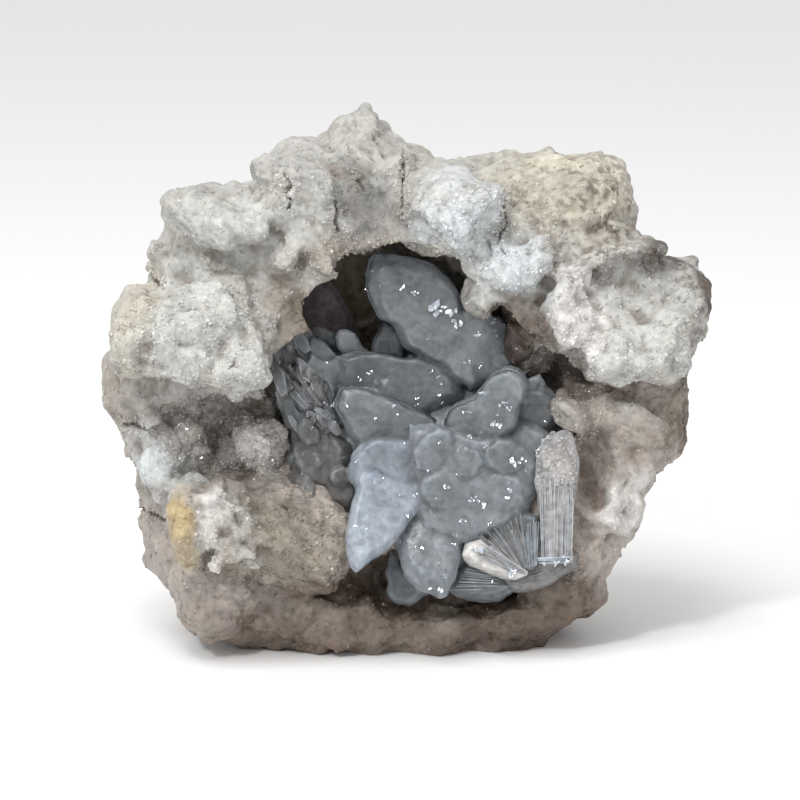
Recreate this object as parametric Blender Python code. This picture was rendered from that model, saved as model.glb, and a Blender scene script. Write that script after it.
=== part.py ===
"""Rough celestite: a broken geode of pale granular stone, with blue-grey blades in its hollow.

The front, which faces -Y, is the broken face with the hollow. The back is the geode's rounded
outer rind. The stone stands on a flat base at z = 0. Sizes are in millimetres and become metres
where a mesh is made.
"""

import math
import random

import bmesh
import bpy
import numpy as np
from mathutils import Euler, Matrix, Vector, noise

MM = 0.001

# The stone is 100 mm wide, 89 mm high and 61 mm deep.
SCALING_HEIGHT = 20.0  # the rings of the rind shrink towards this height
TO_MIDDLE = (-0.2, -1.1, 0.0)  # moves the finished piece so that the origin is under its middle

# Outline of the broken face seen from the front, clockwise from the base's left corner: x and z.
OUTLINE = [
    (-27, -4), (-33.5, 2), (-38, 7), (-41.5, 12.5), (-43.5, 19), (-44.2, 25), (-44.5, 31),
    (-47, 36.5), (-49.8, 41), (-48, 46), (-46.5, 51.5), (-44, 55), (-42, 58.5),
    (-41.5, 64), (-39.5, 69), (-37, 72), (-33, 74), (-29, 75), (-25, 74), (-22, 76.5),
    (-20, 81.5), (-17.5, 83.5), (-13.5, 83.5), (-10, 85.5), (-7, 88.5), (-5, 88.5), (-2.5, 84.5),
    (1, 81.5), (5, 80), (9, 79.5), (16, 81), (24, 81.8), (32, 81), (35, 79), (36, 75),
    (37.5, 70), (40, 66.5), (42, 64), (49, 63.5), (49, 57), (48.5, 50), (47.5, 44.5),
    (47, 38), (46, 31), (41, 28), (39, 22.5), (37, 17), (35, 12), (31, 7), (26, 2), (21, -4),
]

# Rings of the shell from front to back: depth y, scale of the outline, and how much the
# outline is smoothed.
RINGS = [
    (-17.0, 0.84, 2), (-13.0, 0.95, 1), (-6.0, 0.995, 0), (0.0, 1.0, 0), (8.0, 0.975, 2),
    (16.0, 0.89, 4), (23.0, 0.73, 7), (28.0, 0.52, 10), (31.0, 0.30, 14),
]

# The hollow, cut from the shell: centre and half sizes along x, y and z.
HOLLOW = [
    ((3, -10, 41), (24, 22, 22)),  # main chamber
    ((-1, -12, 57), (15, 14, 12)),  # the chamber's arched roof
    ((-13, -12, 46), (10, 12, 9)),  # where the fringe of small blades grows
    ((-10, -3, 57), (9, 18, 8.5)),  # deep pocket above the crystals
    ((-27, -16.2, 36), (14, 9.8, 8.5)),  # shallow pocket on the left
    ((21, -14, 45), (11, 10, 10)),  # shallow pocket on the right
    ((7, -20, 13), (23, 12, 6.5)),  # undercut below the crystals
    ((-10, -22, 13), (9, 10, 4)),  # undercut below the lower left mass
]

# Lumps of stone on the broken face: name, centre, half sizes, turn about y in degrees.
LUMPS = [
    ("peak", (-6.3, -4, 80), (3.6, 9, 7), 0),
    ("upper_block", (-16.8, -9, 75.6), (6.2, 11, 8.2), 0),
    ("upper_slab", (-28.6, -9, 71), (9.6, 11, 5.4), 5),
    ("upper_left_edge", (-35.5, -4, 64.5), (5.4, 10, 5), 10),
    ("left_block_tan", (-40.4, -14, 53), (6.6, 11, 7.8), 0),
    ("left_block_mid", (-34.5, -15.5, 54.5), (8.5, 12, 8.6), 0),
    ("left_block_white", (-29, -16, 55), (8, 12, 8.8), -8),
    ("left_block_lip", (-26, -20, 50.4), (5.8, 9, 5), -12),
    ("left_rim_low", (-43.5, -4, 41), (4.6, 10, 5), 10),
    ("left_pale_low", (-38, -7, 33), (6, 12, 6), 0),
    ("amber_slab", (-34.7, -20.5, 23.4), (3.2, 7, 7.8), 0),
    ("amber_side", (-30.3, -20.5, 23.4), (2, 7, 7.4), 0),
    ("low_left_mass", (-19, -14, 20.5), (11.5, 12, 9), 6),
    ("low_left_step", (-25.6, -21.5, 20.4), (4.4, 6, 4.4), 0),
    ("low_left_base", (-31, -8, 11), (8.5, 13, 8), 30),
    ("base_left", (-15, -4, 1), (12, 10, 6), 0),
    ("base_mid", (7, -4, 0), (15, 10, 6), 0),
    ("base_right", (25, -5, 9), (8, 11, 8.5), -35),
    ("right_low_lump", (35, -8, 24.3), (4.4, 10, 6), 0),
    ("right_mid", (35.5, -8, 39), (9.6, 12, 6.3), 4),
    ("right_mid_block", (27.4, -15, 41), (2.9, 7, 3.6), 0),
    ("right_rind_edge", (43.5, 0, 37), (3, 8, 6), 0),
    ("bowl", (37, -12, 58.2), (11.8, 9.5, 10.4), 0),
    ("bowl_lip", (38.2, -18.5, 52), (9.4, 7.5, 5.4), 0),
    ("right_inner_wall", (21, -5.5, 54), (5.6, 8, 8), 0),
    ("bowl_left", (26.5, -17, 58), (3.8, 8, 7.5), 10),
    ("bowl_corner", (45, -8, 60.5), (3.6, 9, 3.4), 0),
    ("bowl_top", (34, -15, 67), (7.5, 8, 2.6), -6),
    ("upper_pale", (18, -10, 66), (8.6, 11, 5.6), 10),
    ("nodule_hang", (12.2, -12, 59.4), (2.5, 5, 4.2), 0),
    ("top_white", (7, -10, 74), (9, 13, 7.6), 8),
    ("rind_patch", (25, -2, 74), (11.6, 12, 7), 4),
    ("rind_edge", (34.5, -4, 69), (3.4, 9, 4.6), 30),
    ("nodule_a", (-18.9, -15, 65.6), (3.4, 6, 2.7), 0),
    ("nodule_b", (-12.6, -14.5, 65.2), (2.9, 6, 2.5), 0),
    ("nodule_c", (-23.3, -12.5, 61.2), (3.3, 6, 3), 0),
    ("nodule_d", (-19.5, -11.5, 60.6), (2.6, 6, 2.5), 0),
    ("nodule_e", (-8.4, -11, 70), (3.4, 7, 3.2), 0),
    ("nodule_f", (-21, -11, 55.6), (2.9, 6, 2.9), 0),
    ("druse_knob", (-23.6, -4.8, 33.4), (6.2, 8, 5.6), 0),
    ("amber_step", (-26.8, -20, 26), (2.8, 7, 4.6), 0),
]

# Dents pressed into the broken face: name, centre x and z, half sizes, and depth.
DENTS = [
    ("bowl", (37, 62), (9.6, 8), 5.2),
    ("recess_left", (-28, 65), (14, 5.4), 2),
    ("recess_right", (31, 32), (4, 8), 2.8),
]

# Half width of a crystal's outline along its length: share of the length, share of the width.
SPEAR = [(0, 0.55), (0.25, 0.9), (0.5, 1), (0.75, 0.7), (1, 0)]
LENS = [(0, 0.6), (0.3, 0.92), (0.6, 1), (0.86, 0.76), (1, 0.3)]
BLUNT = [(0, 0.75), (0.35, 0.95), (0.7, 1), (0.92, 0.74), (1, 0.36)]
CHISEL = [(0, 0.8), (0.4, 1), (0.8, 0.92), (1, 0.45)]
COLUMN = [(0, 1), (0.5, 1), (0.88, 0.9), (1, 0.5)]
FIBRE = [(0, 0.35), (0.5, 0.8), (0.92, 1), (1, 0.8)]

# Tabular crystals: name, root, tip, width, thickness, direction that the broad face looks, form.
CRYSTALS = [
    ("great_blade", (17.5, -2, 45.5), (-5.2, -9, 63.8), 12, 7, (-0.3, -0.9, 0.4), BLUNT),
    ("back_fin", (0, 0, 44.7), (-3, -3, 53.5), 5.8, 3, (-0.2, -1, 0.1), BLUNT),
    ("shelf_block", (12.7, -8, 42.2), (-10.8, -10, 47.6), 9, 9, (0, -0.8, 0.6), CHISEL),
    ("left_wing", (3.7, -11, 34), (-10.4, -16, 44.8), 9.4, 5, (-0.1, -0.9, 0.35), BLUNT),
    ("pale_neck", (3.7, -12, 35.6), (-8.1, -19, 30.2), 7.3, 6, (-0.1, -0.95, 0.25), LENS),
    ("pale_spear", (0, -15, 34.9), (-8.1, -27, 17.3), 10.9, 5, (-0.1, -0.97, 0.2), SPEAR),
    ("lower_blade", (4.8, -15, 27.1), (5.7, -25, 12.6), 10.6, 5.5, (0.05, -0.97, 0.1), CHISEL),
    ("lower_back", (1.6, -10, 19.1), (0, -16, 8.5), 6.3, 3.5, (-0.1, -0.9, -0.1), SPEAR),
    ("right_spear", (8.1, -13, 32.1), (19.6, -22, 49.6), 9, 5.5, (0.2, -0.9, 0.3), BLUNT),
    ("disc_a", (7.1, -15, 31.6), (3.8, -20, 38.9), 5.6, 3, (-0.2, -0.95, 0.3), LENS),
    ("disc_b", (6.1, -17, 30.1), (13.4, -21, 35.2), 5, 3, (0.1, -0.95, 0.3), LENS),
    ("right_wing", (9.7, -14, 29), (22.3, -19, 33.6), 7.6, 4, (0.2, -0.9, 0.3), BLUNT),
    ("right_low", (9.6, -16, 30.2), (19.5, -22, 26.4), 7.4, 4.5, (0.2, -0.95, 0.1), BLUNT),
    ("centre_low", (6.9, -17, 32.6), (12.7, -23, 24.3), 6.6, 4, (0, -0.97, 0.1), LENS),
    ("upper_disc", (8.5, -15, 37), (14.6, -20, 41.5), 6, 3.5, (0.2, -0.95, 0.3), LENS),
    ("middle_disc", (2.5, -15, 33), (9.5, -22.5, 30.5), 6.4, 4, (0, -0.97, 0.2), LENS),
    ("side_disc", (14.5, -17, 34), (19.8, -21, 31.2), 5.4, 4, (0.25, -0.95, 0.2), LENS),
    ("low_disc", (6.1, -18, 27), (10.8, -23, 20.8), 5.6, 3.5, (0.1, -0.97, 0.1), LENS),
    ("right_back", (12.7, -6, 35.9), (24.9, -12, 42.6), 8.3, 6, (0.2, -0.9, 0.2), LENS),
    ("right_back_low", (14.4, -8, 33), (24.9, -13, 35.8), 7.6, 6, (0.2, -0.9, 0.2), LENS),
    ("column", (25.3, -20, 16.2), (24.5, -19, 38.8), 7.3, 8, (0.1, -1, 0), COLUMN),
    ("ledge", (8.6, -14, 13.4), (27.4, -20, 13.3), 5.6, 8, (0, -0.9, 0.3), CHISEL),
    ("shadow_blade", (-11.3, 6, 41), (-15.1, 5, 58.3), 8, 4, (0.1, -1, 0.1), LENS),
    ("shadow_fin", (-6.3, 6, 42), (-8.4, 7, 55.2), 5, 4, (-0.1, -1, 0.1), LENS),
    ("fringe_a", (-12.3, -4, 45.2), (-14.2, -9, 53.4), 4.6, 3, (-0.3, -0.9, 0.3), SPEAR),
    ("fringe_b", (-6.7, -4, 46.4), (-9.4, -8, 53.5), 4.6, 3, (-0.2, -0.9, 0.4), LENS),
    ("fringe_c", (-9.5, -2, 45.5), (-11.7, -5, 52.3), 3, 2.5, (-0.3, -0.9, 0.3), SPEAR),
    ("fringe_d", (-13.9, -4, 45.2), (-17.7, -8, 52.5), 2.7, 2.5, (-0.3, -0.9, 0.3), SPEAR),
    ("fringe_e", (-13.9, -6, 43.4), (-20.4, -10, 50.8), 4.3, 3, (-0.4, -0.9, 0.3), SPEAR),
    ("fringe_f", (-16.9, -4, 43), (-22.2, -8, 51.4), 2.3, 2.5, (-0.4, -0.9, 0.3), SPEAR),
    ("fringe_g", (-9.4, -8, 41.7), (-13.7, -13, 49.1), 4.6, 3.5, (-0.3, -0.9, 0.4), LENS),
    ("fringe_h", (-11.9, -8, 37.2), (-17.2, -13, 45.1), 4.6, 3, (-0.4, -0.9, 0.3), LENS),
    ("fringe_i", (-9.4, -8, 38), (-13.3, -14, 45.8), 4.3, 3, (-0.3, -0.9, 0.4), LENS),
    ("fringe_j", (-13.6, -6, 39.2), (-21.1, -9, 46.6), 3.6, 3, (-0.4, -0.9, 0.3), SPEAR),
    ("fringe_k", (-11.1, -7, 34.4), (-19.1, -11, 41.2), 4.3, 3, (-0.4, -0.9, 0.3), SPEAR),
    ("fringe_l", (-9.4, -8, 32.1), (-16.6, -13, 38.3), 5, 3, (-0.4, -0.9, 0.2), LENS),
    ("knob_a", (-11.9, -8, 32.1), (-16.3, -14, 30.2), 5.6, 6, (-0.2, -0.95, 0.1), LENS),
    ("knob_b", (-8.6, -8, 30.4), (-12.6, -15, 27.6), 6, 6, (-0.1, -0.95, 0.1), LENS),
    ("knob_c", (-8.6, -8, 33), (-13.7, -15, 33.8), 5.6, 6, (-0.2, -0.95, 0.2), LENS),
]

# Intergrown mass that the crystals stand on: centre and half sizes.
ROOTS = [
    ((5, -1, 34), (17, 12, 15)),
    ((-11, 1, 38), (10, 11, 10)),
    ((14, -9, 22), (13, 10, 9)),
]

# The broken fan of fibres beside the column: where its rays meet, and each ray's angle, length
# and how far its tip leans back.
FAN_FOOT = (20.0, -22.0, 15.0)
FAN_RAYS = [(154, 11, 0), (138, 12, 3), (122, 12.5, 1), (107, 14, 3.5), (92, 15, 2)]
FAN_WIDTH = 4.6
FAN_THICKNESS = 5.5
FAN_INSET = 0.8

# How the stone's lumps are shaped and joined to the shell.
BLOCKINESS = 2.7  # exponent of a lump's rounded-box form; 2 is an ellipsoid
LUMP_OVERSIZE = 1.06  # makes up for the corners that are struck off
FORM_VOXEL = 0.9  # size of the voxels that weld the lumps to the shell
EASING = 4  # smoothing passes after the weld
DENT_REACH = 3.0  # a dent moves only what lies in front of this depth
STONE_TRIANGLES = 5200  # the stone's facets before its pocket is cut
CUTTER_HALF = (80.0, 80.0, 30.0)  # of the block that cuts the base flat

# How the stone's surface is warped and chipped.
NOISE_SEED = 6
WARPS = [(9, 1.0), (4.2, 0.6)]  # size of a wave, and how far it moves the surface
CHIPS = [(9, 3.1, 1.1), (4.5, 8.7, 0.8)]  # size of a facet, seed, and its rise or fall
CHIP_SINK = 0.3  # how much lower the chipped surface is on the whole

INSET = 0.66  # size of a crystal's broad face as a share of its outline
MIDDLE = 0.48  # where a crystal is thickest, as a share of its length
CLEARANCE = 0.35  # between the crust and the pocket that it sits in

STONE_COLOUR = (0.55, 0.51, 0.46)
CRYSTAL_COLOUR = (0.42, 0.5, 0.58)


def clear_scene():
    for obj in list(bpy.data.objects):
        bpy.data.objects.remove(obj)


def smoothed(points, times):
    """A closed outline with each point moved towards its neighbours, times over."""
    for _ in range(times):
        points = [
            (points[i - 1] + points[i] * 2 + points[(i + 1) % len(points)]) / 4
            for i in range(len(points))
        ]
    return points


def add_shell(bm):
    """The geode's body: rings of the outline, closed at the broken face and at the back."""
    outline = [Vector((x, z - SCALING_HEIGHT)) for x, z in OUTLINE]
    rings = []
    for depth, scale, times in RINGS:
        ring = []
        for point in smoothed(outline, times):
            place = (point.x * scale, depth, point.y * scale + SCALING_HEIGHT)
            ring.append(bm.verts.new(place))
        rings.append(ring)
    for front, back in zip(rings, rings[1:]):
        for i in range(len(OUTLINE)):
            bm.faces.new((front[i - 1], front[i], back[i], back[i - 1]))
    bm.faces.new(rings[0])
    bm.faces.new(reversed(rings[-1]))
    bmesh.ops.triangulate(bm, faces=[f for f in bm.faces if len(f.verts) > 4])
    bmesh.ops.recalc_face_normals(bm, faces=bm.faces)


def add_lump(bm, centre, half, turn, seed, cuts=7):
    """A blocky lump of broken stone: a rounded box with a few of its corners struck off flat."""
    rng = random.Random(seed)
    planes = []
    for _ in range(cuts):
        normal = Vector((rng.gauss(0, 1), rng.gauss(0, 1), rng.gauss(0, 1))).normalized()
        planes.append((normal, rng.uniform(0.72, 0.95)))
    made = bmesh.ops.create_icosphere(bm, subdivisions=3, radius=1.0)["verts"]
    place = Matrix.Translation(centre) @ Euler((0, math.radians(turn), 0)).to_matrix().to_4x4()
    for vert in made:
        size = sum(abs(c) ** BLOCKINESS for c in vert.co) ** (1 / BLOCKINESS)
        vert.co /= size
        for normal, reach in planes:
            over = vert.co.dot(normal) - reach
            if over > 0:
                vert.co -= normal * over
        vert.co = place @ Vector(c * h * LUMP_OVERSIZE for c, h in zip(vert.co, half))


def new_object(name, bm):
    """A mesh object from a bmesh in millimetres."""
    bm.transform(Matrix.Scale(MM, 4))
    mesh = bpy.data.meshes.new(name)
    bm.to_mesh(mesh)
    bm.free()
    obj = bpy.data.objects.new(name, mesh)
    bpy.context.collection.objects.link(obj)
    return obj


def applied(obj):
    """The object's mesh with its modifiers in it."""
    bpy.context.view_layer.update()
    graph = bpy.context.evaluated_depsgraph_get()
    mesh = bpy.data.meshes.new_from_object(obj.evaluated_get(graph))
    obj.modifiers.clear()
    obj.data = mesh
    return mesh


def make_hollowed_shell():
    bm = bmesh.new()
    add_shell(bm)
    shell = new_object("shell", bm)
    for centre, half in HOLLOW:
        bm = bmesh.new()
        bmesh.ops.create_icosphere(bm, subdivisions=3, radius=1.0)
        bm.transform(Matrix.Translation(centre) @ Matrix.Diagonal((*half, 1)))
        cutter = new_object("hollow_cutter", bm)
        cutter.hide_render = True
        cutter.display_type = "WIRE"
        hollow = shell.modifiers.new("hollow", "BOOLEAN")
        hollow.operation = "DIFFERENCE"
        hollow.object = cutter
    applied(shell)
    return shell


def make_stone():
    shell = make_hollowed_shell()
    bm = bmesh.new()
    bm.from_mesh(shell.data)
    bm.transform(Matrix.Scale(1 / MM, 4))
    for seed, (_, centre, half, turn) in enumerate(LUMPS):
        add_lump(bm, centre, half, turn, seed)
    bpy.data.objects.remove(shell)
    stone = new_object("geode_stone", bm)
    weld = stone.modifiers.new("weld", "REMESH")
    weld.mode = "VOXEL"
    weld.voxel_size = FORM_VOXEL * MM
    smooth = stone.modifiers.new("ease", "SMOOTH")
    smooth.factor = 0.5
    smooth.iterations = EASING
    applied(stone)
    return stone


def cell_tilt(place, size, seed):
    """How far a place is above or below the tilted facet of the noise cell that it lies in."""
    near, centres = noise.voronoi(place / size + Vector((seed, seed, seed)))
    centre = centres[0]
    tilt = noise.cell_vector(centre * 7.31)
    offset = place / size + Vector((seed, seed, seed)) - centre
    edge = min(1.0, (near[1] - near[0]) * 3)
    return tilt.dot(offset) * edge * 2


def dented(place):
    """A place on the broken face, pushed back where a dent lies."""
    front = min(1.0, max(0.0, (DENT_REACH - place.y) / DENT_REACH))
    for _, (x, z), (half_x, half_z), depth in DENTS:
        inside = 1 - ((place.x - x) / half_x) ** 2 - ((place.z - z) / half_z) ** 2
        if inside > 0:
            place = place + Vector((0, depth * front * inside * inside * (3 - 2 * inside), 0))
    return place


def roughen(mesh):
    """Dents and warps the welded lumps and chips their surface into tilted facets."""
    mesh.transform(Matrix.Scale(1 / MM, 4))
    moved = []
    for vert in mesh.vertices:
        place = dented(vert.co)
        depth = -CHIP_SINK
        for size, seed, height in CHIPS:
            depth += cell_tilt(place, size, seed) * height
        moving = vert.normal * depth
        for size, reach in WARPS:
            moving += noise.noise_vector(place / size) * reach
        moved.append(place + moving)
    for vert, place in zip(mesh.vertices, moved):
        vert.co = place * MM


def crystal_outline(root, tip, width, face, form):
    """Corners of a crystal's outline in its mid plane, its broad face's normal and its middle."""
    root, tip = Vector(root), Vector(tip)
    axis = tip - root
    face = Vector(face)
    normal = (face - axis * (face.dot(axis) / axis.length_squared)).normalized()
    side = axis.cross(normal).normalized() * (width / 2)
    right = [root + axis * t + side * w for t, w in form]
    left = [root + axis * t - side * w for t, w in form]
    if form[-1][1] == 0:
        left.pop()
    return right + left[::-1], normal, root + axis * MIDDLE


def add_crystal(bm, root, tip, width, thickness, face, form, inset=INSET):
    """A tabular crystal: two flat broad faces inside a rim of bevel faces."""
    outline, normal, middle = crystal_outline(root, tip, width, face, form)
    rise = normal * (thickness / 2)
    rim = [bm.verts.new(p) for p in outline]
    front = [bm.verts.new(middle + (p - middle) * inset + rise) for p in outline]
    back = [bm.verts.new(middle + (p - middle) * inset - rise) for p in outline]
    faces = [bm.faces.new(front), bm.faces.new(reversed(back))]
    for i in range(len(rim)):
        faces.append(bm.faces.new((rim[i - 1], rim[i], front[i], front[i - 1])))
        faces.append(bm.faces.new((rim[i], rim[i - 1], back[i - 1], back[i])))
    bmesh.ops.recalc_face_normals(bm, faces=faces)
    bmesh.ops.triangulate(bm, faces=faces)


def add_root(bm, centre, half):
    made = bmesh.ops.create_icosphere(bm, subdivisions=2, radius=1.0)["verts"]
    for vert in made:
        vert.co = Vector(c + p * h for c, p, h in zip(centre, vert.co, half))


def add_fan(bm):
    """Wedge-shaped fibres that spread from one foot."""
    foot = Vector(FAN_FOOT)
    for angle, length, lean in FAN_RAYS:
        turn = math.radians(angle)
        tip = foot + Vector((math.cos(turn) * length, lean, math.sin(turn) * length))
        add_crystal(bm, foot, tip, FAN_WIDTH, FAN_THICKNESS, (0, -1, 0), FIBRE, FAN_INSET)


def grow(bm, distance):
    """Moves the faces of every convex piece outwards by a distance."""
    bm.normal_update()
    moves = []
    for vert in bm.verts:
        normals = np.array([face.normal for face in vert.link_faces])
        move = np.linalg.lstsq(normals, np.full(len(normals), distance), rcond=0.05)[0]
        moves.append((vert, Vector(move)))
    for vert, move in moves:
        vert.co += move


def make_pieces(name, distance=0.0):
    """The crust's overlapping pieces as one mesh, each grown by a distance."""
    bm = bmesh.new()
    for centre, half in ROOTS:
        add_root(bm, centre, half)
    for _, *size, form in CRYSTALS:
        add_crystal(bm, *size, form)
    add_fan(bm)
    if distance:
        grow(bm, distance)
    return new_object(name, bm)


def united(obj):
    """Joins an object's overlapping pieces into one body."""
    empty = bpy.data.objects.new("nothing", bpy.data.meshes.new("nothing"))
    join = obj.modifiers.new("join", "BOOLEAN")
    join.operation = "UNION"
    join.use_self = True
    join.object = empty
    applied(obj)
    bpy.data.objects.remove(empty)


def cut(stone, cutter):
    """Takes one object's form out of another, and removes the cutter."""
    modifier = stone.modifiers.new("cut", "BOOLEAN")
    modifier.operation = "DIFFERENCE"
    modifier.object = cutter
    modifier.use_self = True
    applied(stone)
    bpy.data.objects.remove(cutter)


def cut_flat(stone):
    """Cuts the stone off along its base, at z = 0."""
    bm = bmesh.new()
    bmesh.ops.create_cube(bm, size=2.0)
    bm.transform(Matrix.Diagonal((*CUTTER_HALF, 1)))
    bm.transform(Matrix.Translation((0, 0, -CUTTER_HALF[2])))
    cut(stone, new_object("base_cutter", bm))


def thin_out(stone):
    """Brings the stone down to a few thousand flat facets."""
    count = sum(len(face.vertices) - 2 for face in stone.data.polygons)
    thin = stone.modifiers.new("thin", "DECIMATE")
    thin.ratio = STONE_TRIANGLES / count
    thin.use_collapse_triangulate = True
    applied(stone)


def connected_bodies(bm):
    """The mesh's separate bodies, smallest first, each as a set of its vertices."""
    left = set(bm.verts)
    bodies = []
    while left:
        body = set()
        front = [left.pop()]
        while front:
            vert = front.pop()
            body.add(vert)
            near = {edge.other_vert(vert) for edge in vert.link_edges} & left
            left -= near
            front.extend(near)
        bodies.append(body)
    return sorted(bodies, key=len)


def finish(obj, colour, roughness, **surface):
    """Keeps the object's main body, centres it over the origin and gives it its material."""
    bm = bmesh.new()
    bm.from_mesh(obj.data)
    for flake in connected_bodies(bm)[:-1]:
        bmesh.ops.delete(bm, geom=list(flake), context="VERTS")
    bmesh.ops.triangulate(bm, faces=bm.faces)
    bm.transform(Matrix.Translation([c * MM for c in TO_MIDDLE]))
    bm.to_mesh(obj.data)
    bm.free()
    material = bpy.data.materials.new(obj.name)
    material.use_nodes = True
    shader = material.node_tree.nodes["Principled BSDF"]
    shader.inputs["Base Color"].default_value = (*colour, 1)
    shader.inputs["Roughness"].default_value = roughness
    for name, value in surface.items():
        shader.inputs[name].default_value = value
    obj.data.materials.clear()
    obj.data.materials.append(material)


def make_geode_stone():
    stone = make_stone()
    roughen(stone.data)
    thin_out(stone)
    cut_flat(stone)
    pocket = make_pieces("pocket", CLEARANCE)
    united(pocket)
    cut(stone, pocket)
    finish(stone, STONE_COLOUR, 0.85)
    stone.data.shade_smooth()
    stone.data.set_sharp_from_angle(angle=math.radians(30))


def make_celestite_crystals():
    crust = make_pieces("celestite_crystals")
    united(crust)
    finish(crust, CRYSTAL_COLOUR, 0.2, IOR=1.62)


clear_scene()
noise.seed_set(NOISE_SEED)
make_geode_stone()
make_celestite_crystals()
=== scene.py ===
"""Rough celestite: the looks. A broken geode of pale granular stone, with blue-grey blades in its
hollow. Sizes in the tables are in millimetres and become metres where a mesh is made. The front,
which faces -Y, is the broken face, and the flat base is at z = 0.
"""

import math
import random

import bmesh
import bpy
import numpy as np
from mathutils import Euler, Matrix, Vector, kdtree, noise


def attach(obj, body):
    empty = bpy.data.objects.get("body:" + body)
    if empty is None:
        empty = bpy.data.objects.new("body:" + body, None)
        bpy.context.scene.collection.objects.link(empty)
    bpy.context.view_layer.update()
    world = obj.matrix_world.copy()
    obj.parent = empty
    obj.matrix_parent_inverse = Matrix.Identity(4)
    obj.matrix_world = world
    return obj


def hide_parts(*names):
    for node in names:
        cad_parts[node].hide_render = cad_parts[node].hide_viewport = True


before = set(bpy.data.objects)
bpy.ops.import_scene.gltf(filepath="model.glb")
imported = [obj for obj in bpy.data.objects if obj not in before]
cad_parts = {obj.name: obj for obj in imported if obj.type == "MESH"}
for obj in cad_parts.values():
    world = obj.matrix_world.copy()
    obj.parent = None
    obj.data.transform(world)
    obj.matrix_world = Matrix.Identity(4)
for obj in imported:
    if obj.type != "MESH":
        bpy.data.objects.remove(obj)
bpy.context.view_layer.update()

MM = 0.001

# The camera: it looks at AIM from AZIMUTH 0, a little from above.
ELEVATION = math.radians(12)
DISTANCE = 0.55
AIM = Vector((-0.0002, -0.0011, 0.043))
PIXELS_PER_MM = 6.03
PICTURE_SIDE = 800
OFF_CENTRE = (-2.5, -20.0)  # pixels from the picture's middle to where AIM appears
SENSOR = 36.0
VIEW = np.array((0, math.cos(ELEVATION), -math.sin(ELEVATION)))  # the way that it looks
UP = np.array((0, math.sin(ELEVATION), math.cos(ELEVATION)))  # upwards in the picture

# Lights: name, place, size, power, and whether glossy surfaces mirror it.
GLINT_PLACE = (-0.3, -0.5, 0.5)
LIGHTS = [
    ("key", (-0.12, -0.3, 0.75), 0.35, 3.2, False),
    ("glint", GLINT_PLACE, 0.08, 2.0, True),
]
FLOOR_TONE = 0.86
SKY_STRENGTH = 0.85

# The stone's form, as in the solids.
SCALING_HEIGHT = 20.0  # the rings of the rind shrink towards this height
TO_MIDDLE = np.array((-0.2, -1.1, 0.0))  # brings the origin under the middle of the whole

# Outline of the broken face seen from the front, clockwise from the base's left corner: x and z.
OUTLINE = [
    (-27, -4), (-33.5, 2), (-38, 7), (-41.5, 12.5), (-43.5, 19), (-44.2, 25), (-44.5, 31),
    (-47, 36.5), (-49.8, 41), (-48, 46), (-46.5, 51.5), (-44, 55), (-42, 58.5),
    (-41.5, 64), (-39.5, 69), (-37, 72), (-33, 74), (-29, 75), (-25, 74), (-22, 76.5),
    (-20, 81.5), (-17.5, 83.5), (-13.5, 83.5), (-10, 85.5), (-7, 88.5), (-5, 88.5), (-2.5, 84.5),
    (1, 81.5), (5, 80), (9, 79.5), (16, 81), (24, 81.8), (32, 81), (35, 79), (36, 75),
    (37.5, 70), (40, 66.5), (42, 64), (49, 63.5), (49, 57), (48.5, 50), (47.5, 44.5),
    (47, 38), (46, 31), (41, 28), (39, 22.5), (37, 17), (35, 12), (31, 7), (26, 2), (21, -4),
]

# Rings of the shell from front to back: depth y, scale of the outline, and how much the
# outline is smoothed.
RINGS = [
    (-17.0, 0.84, 2), (-13.0, 0.95, 1), (-6.0, 0.995, 0), (0.0, 1.0, 0), (8.0, 0.975, 2),
    (16.0, 0.89, 4), (23.0, 0.73, 7), (28.0, 0.52, 10), (31.0, 0.30, 14),
]

# The hollow, cut from the shell: centre and half sizes along x, y and z.
HOLLOW = [
    ((3, -10, 41), (24, 22, 22)),  # main chamber
    ((-1, -12, 57), (15, 14, 12)),  # the chamber's arched roof
    ((-13, -12, 46), (10, 12, 9)),  # where the fringe of small blades grows
    ((-10, -3, 57), (9, 18, 8.5)),  # deep pocket above the crystals
    ((-27, -16.2, 36), (14, 9.8, 8.5)),  # shallow pocket on the left
    ((21, -14, 45), (11, 10, 10)),  # shallow pocket on the right
    ((7, -20, 13), (23, 12, 6.5)),  # undercut below the crystals
    ((-10, -22, 13), (9, 10, 4)),  # undercut below the lower left mass
]

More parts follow.
